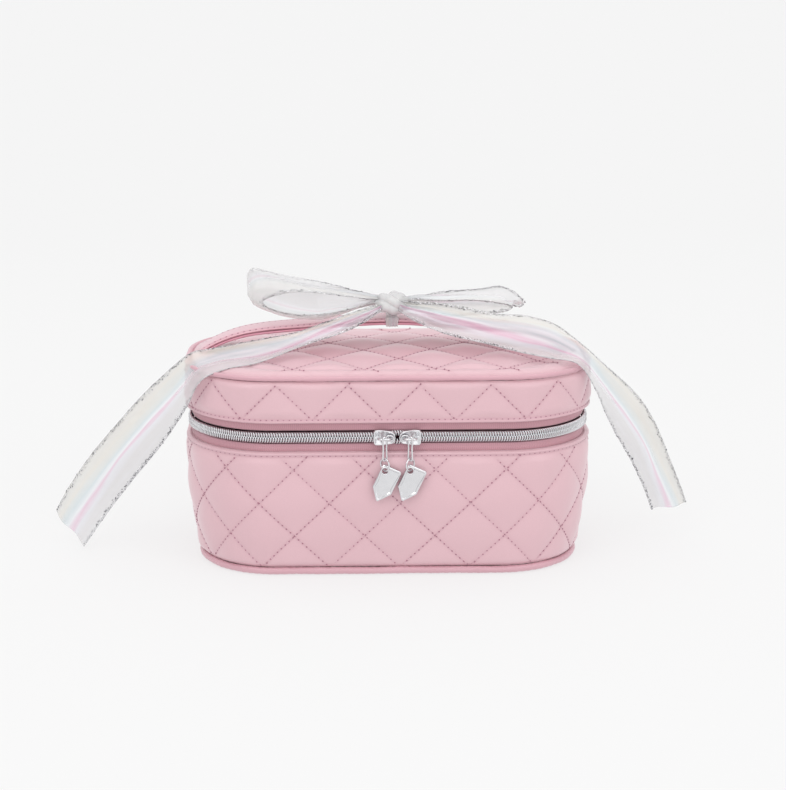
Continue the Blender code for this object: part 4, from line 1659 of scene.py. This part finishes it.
        eye_line = np.stack([x, np.full_like(angle, -0.00052), z], axis=1)
        eyelet = tube("tag_eyelet_" + self.side, eye_line, 0.00036, 10, closed=True)
        for piece in (tag, eyelet):
            piece.data.transform(Matrix.Translation((-hole[0], 0, -hole[1])))
            piece.data.transform(Matrix.Rotation(lean, 4, "Y"))
            piece.data.transform(Matrix.Translation(hang))
            fit(piece, Finish.METAL, "tag_" + self.side, "silver_metal")
        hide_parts("zip_tag_" + self.side)


@dataclass
class Zip:
    """Both tapes, both coils and the two sliders with their pulls."""

    def build(self) -> None:
        """Makes every piece of the zip."""
        base_low, base_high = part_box("base_zip_tape")
        lid_low, lid_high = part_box("lid_zip_tape")
        ZipTape("zip_tape_low", "base", "base_zip_tape", base_low.z, base_high.z + 0.0002).build()
        ZipTape("zip_tape_high", "lid", "lid_zip_tape", lid_low.z - 0.0002, lid_high.z).build()
        ZipCoil("zip_coil_low", "base", "base_zip_teeth", -1).build()
        ZipCoil("zip_coil_high", "lid", "lid_zip_teeth", 1).build()
        Slider("left", -1).build()
        Slider("right", 1).build()


# ---------------------------------------------------------------- the handle
@dataclass
class Handle:
    """The strap handle: an upper and a lower layer sewn together along both edges."""

    half_width: float = 0.0105
    end: float = 0.101
    thick: float = 0.00135
    seam_share: float = 0.79

    def arch(self, x: np.ndarray) -> np.ndarray:
        """Height of the strap's underside at a place along it."""
        low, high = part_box("handle_backing")
        seat = low.z + 0.0002
        top = high.z - 0.0029
        share = np.abs(x) / self.end
        return seat + (top - seat) * (1 - share**5.5) * (1 - 0.20 * smooth(share / 0.62))

    def line(self, count: int) -> np.ndarray:
        """Evenly spaced points along the underside's middle, as X and Z."""
        x = -self.end * np.cos(np.linspace(0, math.pi, 1200))
        z = self.arch(x)
        run = np.concatenate([[0], np.cumsum(np.hypot(np.diff(x), np.diff(z)))])
        wanted = np.linspace(0, run[-1], count)
        return np.stack([np.interp(wanted, run, x), np.interp(wanted, run, z), wanted], axis=1)

    def ways(self, spine: np.ndarray) -> tuple:
        """Unit directions along the strap and out of its top, as X and Z."""
        tangent = np.gradient(spine[:, :2], axis=0)
        tangent /= np.linalg.norm(tangent, axis=1, keepdims=True)
        return tangent, np.stack([-tangent[:, 1], tangent[:, 0]], axis=1)

    def layer(self, name: str, lift: float, proud: float, choice: Finish, node: str) -> None:
        """One layer with rounded long edges.

        Args:
            name: The piece's name.
            lift: Its height over the strap's underside.
            proud: How much its middle is raised between the two edge seams.
            choice: Its finish.
            node: The model node it stands for.
        """
        spine = self.line(240)
        _, normal = self.ways(spine)
        across = np.linspace(-1, 1, 33)
        edge = np.sqrt(np.maximum(1 - ((np.abs(across) - 0.94) / 0.06).clip(0, 1) ** 2, 0.0))
        seam = bell((np.abs(across) - self.seam_share) * self.half_width, 0.0009)
        swell = proud * (1 - np.abs(across / self.seam_share).clip(0, 1) ** 2.5) - 0.00028 * seam
        pull = needle_pull(spine[:, 2], STRAP_STITCH)
        half = self.thick / 2
        over = half + half * edge[None] + swell[None] - 0.00016 * seam[None] * pull[:, None]
        under = half - half * edge[None] + 0 * over
        wave = 0.00018 * wobble(spine[:, 2][:, None] * 120, across[None] * 2 + 0 * over, seed=lift * 900)
        rows = []
        for height in (over, under[:, ::-1]):
            y = np.broadcast_to((across if height is over else across[::-1]) * self.half_width, height.shape)
            out = lift + height + wave
            x = spine[:, 0][:, None] + normal[:, 0][:, None] * out
            z = spine[:, 1][:, None] + normal[:, 1][:, None] * out
            rows.append(np.stack([x, y, z], axis=-1))
        loop = np.concatenate(rows, axis=1)
        strap = grid(name, loop, wrap_columns=True)
        bm = bmesh.new()
        bm.from_mesh(strap.data)
        bm.verts.ensure_lookup_table()
        columns = loop.shape[1]
        for row in (0, len(spine) - 1):
            bm.faces.new([bm.verts[row * columns + k] for k in range(columns)])
        bmesh.ops.recalc_face_normals(bm, faces=bm.faces[:])
        bm.to_mesh(strap.data)
        bm.free()
        fit(strap, choice, "lid", "quilted_pink", node)

    def build(self) -> None:
        """Makes both layers and the seams along the edges."""
        self.layer("handle_under", 0.0, 0.0, Finish.STRAP_UNDER, "handle_backing")
        self.layer("handle_top", 0.00155, 0.00055, Finish.STRAP, "handle_strap")
        self.seams()

    def seams(self) -> None:
        """Sews a row of stitches along each edge of the strap."""
        count = int(self.line(10)[-1, 2] / STRAP_STITCH)
        spine = self.line(2 * count + 1)
        # Every second point is the middle of a stitch, and the others are needle holes.
        tangent, normal = (way[1::2] for way in self.ways(spine))
        point = spine[1::2, :2] + normal * 0.00272
        rows = []
        for side in (-1, 1):
            beside = side * self.seam_share * self.half_width
            for flat, y in ((point, beside), (tangent, 0.0), (normal, 0.0)):
                rows.append(np.stack([flat[:, 0], np.full(len(flat), y), flat[:, 1]], axis=1))
        middles, ways, outs = (np.vstack(rows[k::3]) for k in range(3))
        sew("handle_seam", middles, ways, outs, float(spine[-1, 2] / count), NEEDLE_GAP, "lid")


# ---------------------------------------------------------------- the bow
@dataclass
class Ribbon:
    """A length of sheer ribbon between two edges, with pleats where it is tied and glitter on both edges."""

    name: str
    first: tuple
    second: tuple
    rows: int
    columns: int = 30
    belly: tuple = ((0.0, 0.0), (1.0, 0.0))
    tied_start: float = 0.020
    tied_end: float = 0.0
    pleats: float = 0.0012
    waves: float = 0.0009
    seed: float = 0.0
    film: Finish = Finish.RIBBON
    thick: float = 0.00022
    run: np.ndarray = None
    length: float = 0.0

    def surface(self) -> np.ndarray:
        """The ribbon's points, rows along by columns across by 3. It also settles run and length."""
        lists = (self.first, self.second)
        edges = [through([tuple(c * MM for c in p) for p in edge], self.rows) for edge in lists]
        across = np.linspace(0, 1, self.columns)
        flat = edges[0][:, None] * (1 - across)[None, :, None] + edges[1][:, None] * across[None, :, None]
        along_way = unit(np.gradient(flat, axis=0))
        across_way = unit(edges[1] - edges[0])[:, None]
        normal = unit(np.cross(along_way, np.broadcast_to(across_way, flat.shape)))
        self.run = run_along((edges[0] + edges[1]) / 2)
        self.length = float(self.run[-1])
        r, a = self.run[:, None], across[None]
        tied = np.exp(-r / self.tied_start)
        if self.tied_end:
            tied = np.maximum(tied, np.exp(-(self.length - r) / self.tied_end))
        ease = np.sin(math.pi * a) ** 0.35
        seed, turn = self.seed, 2 * math.pi
        out = self.pleats * tied * ease * np.sin(turn * (4.3 * a + 0.15 * np.sin(r * 260 + seed)) + seed)
        out = out + 0.45 * self.pleats * tied * ease * np.sin(turn * 9.1 * a + 2.0 * seed)
        out = out + self.waves * np.sin(turn * (1.35 * a + 5.2 * r + 0.21 * seed)) * (1 - 0.6 * tied)
        out = out + 0.45 * self.waves * np.sin(turn * (0.6 * a - 14.0 * r + 0.4 * seed)) * (1 - tied)
        bulge = np.interp(self.run / self.length, *zip(*self.belly))[:, None] * MM
        out = out + bulge * np.sin(math.pi * a**0.72)
        return flat + normal * out[..., None]

    def glitter(self, name: str, line: np.ndarray, inward: np.ndarray) -> list:
        """The metallic thread and sequin dust along one edge.

        Args:
            name: Start of the pieces' names.
            line: Points along the edge.
            inward: Unit directions from the edge into the ribbon.

        Returns:
            The thread and the dust.
        """
        run = run_along(line)
        count = int(run[-1] / 0.00058)
        wanted = np.linspace(0, run[-1], count)
        points = at_runs(line, run, wanted)
        into = unit(at_runs(inward, run, wanted))
        tangent = unit(np.gradient(points, axis=0))
        up = unit(np.cross(tangent, into))
        k = np.arange(count)
        zig = 0.0006 * np.sin(k * 1.31)
        thread = tube(name + "_thread", points + into * (0.0008 + zig)[:, None], 0.00013, 4)
        # Repeatable scatter, from 0 to 1: how far in, how high and how large, how far along, and the tilt.
        far_in, lift, slip, tilt = (
            np.modf(np.abs(np.sin(k * f + self.seed) * 43758.5))[0] for f in (12.99, 78.23, 37.72, 93.98)
        )
        places = points + into * (0.00005 + 0.0019 * far_in)[:, None]
        places = places + up * (self.thick * (lift - 0.5))[:, None]
        places = places + tangent * (0.0003 * (slip - 0.5))[:, None]
        angle = 2 * math.pi * tilt[:, None]
        turned = np.cos(angle) * tangent + np.sin(angle) * into
        side = unit(np.cross(up, turned))
        turns = np.stack([turned, side, up], axis=2) * (0.55 + 0.75 * lift)[:, None, None]
        dust = copies(name + "_dust", bead(0.00078, 0.00037, 4, 3), places, turns)
        return [dress(thread, Finish.GLITTER), dress(dust, Finish.GLITTER)]

    def build(self) -> list:
        """Makes the ribbon and the glitter along both its edges.

        Returns:
            The ribbon, then each edge's thread and dust.
        """
        points = self.surface()
        film = grid(self.name, points)
        shape = points.shape[:2]
        keep_value(film, "across", np.broadcast_to(np.linspace(0, 1, self.columns)[None], shape))
        keep_value(film, "along", np.broadcast_to(self.run[:, None], shape))
        thicken(film, self.thick, 0.0)
        dress(film, self.film)
        # Sheer film scatters light forward, so what lies under it stays bright.
        film.visible_shadow = False
        inward = unit(points[:, 1] - points[:, 0])
        first = self.glitter(self.name + "_edge_a", points[:, 0], inward)
        second = self.glitter(self.name + "_edge_b", points[:, -1], -inward)
        return [film, *first, *second]


# Points along the ribbon's edges from the knot outwards, in millimetres.
LEFT_LOOP_NEAR = ((-4.5, -7, 141.5), (-20.5, -12, 144.5), (-34, -14, 146), (-47.5, -15, 146.5),
                  (-58, -14, 145), (-65, -12, 142.5), (-67, -12, 140.5), (-63.5, -13, 138),
                  (-55.5, -15, 136), (-44.5, -15, 135),
                  (-31.5, -14, 136), (-18, -12, 138.5), (-5, -8, 140))
LEFT_LOOP_FAR = ((-4, -2, 141), (-20.5, 2, 144.5), (-34, 5, 147.5), (-47.5, 7, 150), (-61.5, 8, 153),
                 (-73, 8, 156), (-73.5, 10, 153.5), (-61.5, 10, 150.5), (-48, 10, 147), (-34, 8, 145),
                 (-20.5, 5, 142.5), (-4, 0, 139.5))
RIGHT_LOOP_NEAR = ((7.5, -8, 140.5), (20, -11, 142), (33.5, -12, 142), (47, -12, 142), (60.5, -11, 140.5),
                   (67.5, -9, 138.5), (68.5, -8, 135.5), (63.5, -10, 133.5), (50, -12, 132.5),
                   (36.5, -12, 132.5), (23, -11, 134), (8, -9, 138))
RIGHT_LOOP_FAR = ((8, -3, 141), (23.5, 1, 142.5), (37, 4, 143.5), (51, 6, 144), (63.5, 6, 145), (73, 5, 139),
                  (73.5, 7, 136), (65, 9, 136.5), (51.5, 9, 137), (34.5, 8, 137), (20.5, 4, 138),
                  (8.5, 0, 139))
LEFT_TAIL_TOP = ((-3.5, -11, 140), (-14, -14, 137.5), (-26, -15, 134), (-39.5, -16, 129.5), (-53, -17, 125),
                 (-80, -19, 119), (-97, -23, 117), (-107, -26, 115), (-123, -24, 101), (-141, -20, 83),
                 (-161, -13, 60), (-177, -5, 37), (-187, 2, 20))
LEFT_TAIL_LOW = ((-3.5, -14, 136), (-12, -18, 131), (-23.5, -23, 126), (-35.5, -28, 122.5), (-47, -34, 119.5),
                 (-68, -42, 114), (-86, -48, 112), (-99, -50, 106), (-108, -43, 90), (-126, -31, 63),
                 (-140, -22, 44), (-156, -12, 22), (-170, -5, 1))
RIGHT_TAIL_TOP = ((6, -11, 140.5), (20, -13, 141), (36, -15, 139.5), (49.5, -15, 137), (60.5, -14, 135),
                  (73.5, -14, 134), (88, -15, 130), (97, -17, 124.5), (106.5, -19, 117), (115, -21, 109.5),
                  (133, -14, 91.5), (144, -8, 77), (155, 3, 58), (170, 22, 26), (176, 30, 13))
RIGHT_TAIL_LOW = ((5.5, -14, 136.5), (13, -18, 132), (22.5, -21, 128), (33, -24, 124.5), (48, -30, 121.5),
                  (66, -37, 118), (84, -41, 115), (99, -43, 112), (109, -38, 98), (117, -31, 83),
                  (126, -22, 67), (136, -9, 49), (147, 6, 27), (152, 14, 14))


@dataclass
class Knot:
    """The crumpled knot in the middle of the bow, and the wrap that holds it on the strap."""

    middle: tuple = (0.0022, -0.0062, 0.1388)
    reach: tuple = (0.0082, 0.0072, 0.0048)

    def folds(self, away: np.ndarray) -> np.ndarray:
        """How far the folds stand out, for unit directions from the knot's middle."""
        p = 0.50 * away[..., 0] + 0.80 * away[..., 2] + 0.20 * away[..., 1]
        q = 0.85 * away[..., 0] - 0.50 * away[..., 2] - 0.15 * away[..., 1]
        large = np.abs(np.sin(math.pi * (1.35 * p + 0.14 * np.sin(2.6 * q) + 0.2))) ** 0.7
        small = np.abs(np.sin(math.pi * (1.9 * q + 0.35 * np.sin(2.1 * p)))) ** 0.9
        return 0.0016 * large + 0.00045 * small + 0.0004 * wobble(away[..., 0] * 3, away[..., 2] * 3, seed=8)

    def build(self) -> None:
        """Makes the knot and the wrap under it."""
        around, across = 160, 70
        turn = np.arange(around) * 2 * math.pi / around
        along = np.linspace(0.03, math.pi - 0.03, across)
        t, s = np.meshgrid(turn, along, indexing="ij")
        away = np.stack([-np.cos(s), np.sin(s) * np.cos(t), np.sin(s) * np.sin(t)], axis=-1)
        body = away * np.array(self.reach) + away * self.folds(away)[..., None]
        knot = grid("bow_knot_folds", body + np.array(self.middle), wrap_rows=True)
        keep_value(knot, "across", 0.5 + 0.45 * np.sin(3.0 * t + 2.0 * s))
        keep_value(knot, "along", t * 0.008)
        fit(knot, Finish.RIBBON_DENSE, "lid", "pearl_ribbon")
        self.wrap()

    def wrap(self) -> None:
        """Makes the gathered band that goes round the strap."""
        handle = Handle()
        centre_z = float(handle.arch(np.zeros(1))[0]) + 0.0018
        half_z, half_y = 0.0030, handle.half_width + 0.0011
        around = 160
        turn = np.arange(around) * 2 * math.pi / around
        a, s = np.meshgrid(turn, np.linspace(-1, 1, 40), indexing="ij")
        y = half_y * np.sign(np.cos(a)) * np.abs(np.cos(a)) ** 0.35
        z = half_z * np.sign(np.sin(a)) * np.abs(np.sin(a)) ** 0.35
        x = self.middle[0] + 0.0032 * s * (1 + 0.12 * wobble(a * 2, seed=1))
        fold = 0.00045 * np.abs(np.sin(math.pi * (2.2 * s + 0.4 * np.sin(a * 2 + 0.6))))
        fold = fold + 0.0003 * wobble(a * 5, s * 4, seed=8)
        grow = 1 + (fold - 0.0004 * s**4) / np.hypot(y, z)
        band = grid("bow_wrap", np.stack([x, y * grow, centre_z + z * grow], axis=-1), wrap_rows=True)
        keep_value(band, "across", (s + 1) / 2)
        keep_value(band, "along", a * 0.012)
        thicken(band, 0.0003, 1.0)
        fit(band, Finish.RIBBON_PLAIN, "lid", "pearl_ribbon", "bow_knot")


@dataclass
class Bow:
    """The ribbon bow: knot, two loops and two tails that hang over the bag's sides."""

    def loop(self, side: str, near: tuple, far: tuple, belly: tuple, seed: float) -> None:
        """Makes one loop.

        Args:
            side: Which side it is on.
            near: Points of its edge towards the front, from the knot, round the fold and back.
            far: Points of its other edge.
            belly: How far it bulges, in millimetres, at shares of its length.
            seed: Shifts its unevenness.
        """
        ribbon = Ribbon(
            "bow_loop_film_" + side, near, far, 170, belly=belly, film=Finish.RIBBON_PLAIN,
            tied_start=0.016, tied_end=0.016, pleats=0.0014, waves=0.0009, seed=seed,
        )
        pieces = ribbon.build()
        for piece in pieces:
            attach(piece, "lid")
        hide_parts("bow_loop_" + side)

    def tail(self, side: str, top: tuple, low: tuple, seed: float) -> None:
        """Makes one tail, from the knot to its cut end.

        Args:
            side: Which side it is on.
            top: Points of its upper edge, from the knot to the cut end.
            low: Points of its lower edge.
            seed: Shifts its unevenness.
        """
        name = "bow_tail_film_" + side
        ribbon = Ribbon(name, top, low, 300, tied_start=0.030, pleats=0.0012, waves=0.0012, seed=seed)
        pieces = ribbon.build()
        for piece in pieces:
            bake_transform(piece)
        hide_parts("bow_tail_" + side, "tail_fall_" + side)

    def build(self) -> None:
        """Makes the knot, the loops and the tails."""
        Knot().build()
        deep = ((0, 0), (0.3, -0.5), (0.47, -5.5), (0.58, -8.5), (0.76, -10), (0.92, -3), (1, 0))
        shallow = ((0, 0), (0.3, -1.0), (0.5, -4), (0.75, -4), (1, 0))
        self.loop("left", LEFT_LOOP_NEAR, LEFT_LOOP_FAR, deep, 1.0)
        self.loop("right", RIGHT_LOOP_NEAR, RIGHT_LOOP_FAR, shallow, 2.2)
        self.tail("left", LEFT_TAIL_TOP, LEFT_TAIL_LOW, 3.1)
        self.tail("right", RIGHT_TAIL_TOP, RIGHT_TAIL_LOW, 4.6)


# ---------------------------------------------------------------- pieces kept from the model
@dataclass
class HiddenLayers:
    """The two boards between skin and lining, which keep their own plain shapes."""

    nodes: tuple = ("bottom_board", "lid_board")

    def build(self) -> None:
        """Gives each its finish."""
        for node in self.nodes:
            dress(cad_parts[node], Finish.BOARD)


# ---------------------------------------------------------------- the studio
@dataclass
class Studio:
    """A pale sweep, soft light and the camera."""

    reach: float = 9.0
    flat_to: float = 1.2
    bend: float = 0.9
    wall_high: float = 5.0
    aim: tuple = (0.0, 0.0, 0.05)

    def sweep(self) -> None:
        """The floor that curves up into the wall behind."""
        profile = [(-self.reach, 0.0), (self.flat_to, 0.0)]
        for k in range(1, 13):
            turn = math.pi / 2 * k / 12
            profile.append((self.flat_to + self.bend * math.sin(turn), self.bend * (1 - math.cos(turn))))
        profile.append((self.flat_to + self.bend, self.wall_high))
        points = np.array([[(x, y, z) for x in (-self.reach, self.reach)] for y, z in profile])
        floor = grid("studio_sweep", points)
        sheet = NodeSheet("studio_paper")
        pale = sheet.mix(sheet.noise(3.0), (0.230, 0.230, 0.230), (0.232, 0.232, 0.232))
        sheet.join(pale, sheet.shader.inputs["Base Color"])
        sheet.shader.inputs["Emission Color"].default_value = (1.0, 1.0, 1.0, 1.0)
        sheet.gloss(Roughness=1.0, Specular_IOR_Level=0.0, Emission_Strength=0.67)
        floor.data.materials.append(sheet.material)

    def softbox(self, name: str, spot: tuple, size: float, power: float) -> None:
        """One large soft light, pointed at the bag.

        Args:
            name: The light's name.
            spot: Where it stands.
            size: Its edge length.
            power: Its power in watts.
        """
        data = bpy.data.lights.new(name, "AREA")
        data.shape = "SQUARE"
        data.size = size
        data.energy = power
        light = bpy.data.objects.new(name, data)
        light.location = spot
        light.rotation_euler = (Vector(self.aim) - Vector(spot)).to_track_quat("-Z", "Y").to_euler()
        bpy.context.scene.collection.objects.link(light)

    def build(self) -> None:
        """Makes the sweep, the lights, the world and the camera."""
        self.sweep()
        world = bpy.data.worlds.new("studio_air")
        world.use_nodes = True
        air = world.node_tree.nodes["Background"].inputs
        air["Color"].default_value = (1.0, 1.0, 1.0, 1.0)
        air["Strength"].default_value = 0.74
        bpy.context.scene.world = world
        self.softbox("key_light", (-1.2, -1.9, 2.0), 1.6, 10.0)
        self.softbox("fill_light", (1.8, -1.6, 1.2), 1.4, 7.0)
        self.softbox("front_light", (0.2, -2.6, 0.9), 1.4, 4.0)
        self.softbox("top_light", (0.0, -0.5, 2.4), 3.2, 26.0)
        bpy.context.scene.view_settings.view_transform = "Standard"
        self.camera()

    def camera(self) -> None:
        """The camera, in front and a little above."""
        data = bpy.data.cameras.new("camera")
        data.lens = 81.5
        data.sensor_width = 36.0
        data.shift_x = 0.0071
        data.shift_y = 0.0705
        eye = bpy.data.objects.new("camera", data)
        back = Vector((-0.0246, -0.9635, 0.2666)).normalized()
        up = Vector((0.0, 0.0, 1.0))
        right = up.cross(back).normalized()
        true_up = back.cross(right)
        turn = Matrix((right, true_up, back)).transposed().to_4x4()
        eye.matrix_world = Matrix.Translation((-0.0246, -0.9635, 0.3206)) @ turn
        bpy.context.scene.collection.objects.link(eye)
        bpy.context.scene.camera = eye


def main() -> None:
    """Builds and dresses the bag, then the studio round it."""
    steps = (
        ("base", Base()),
        ("lid", Lid()),
        ("hinge strip", HingeStrip()),
        ("zip", Zip()),
        ("handle", Handle()),
        ("bow", Bow()),
        ("hidden layers", HiddenLayers()),
        ("studio", Studio()),
    )
    for label, part in steps:
        part.build()
        LOG.info("built the %s", label)


if __name__ == "__main__":
    logging.basicConfig(level=logging.INFO, format="%(name)s: %(message)s")
    main()
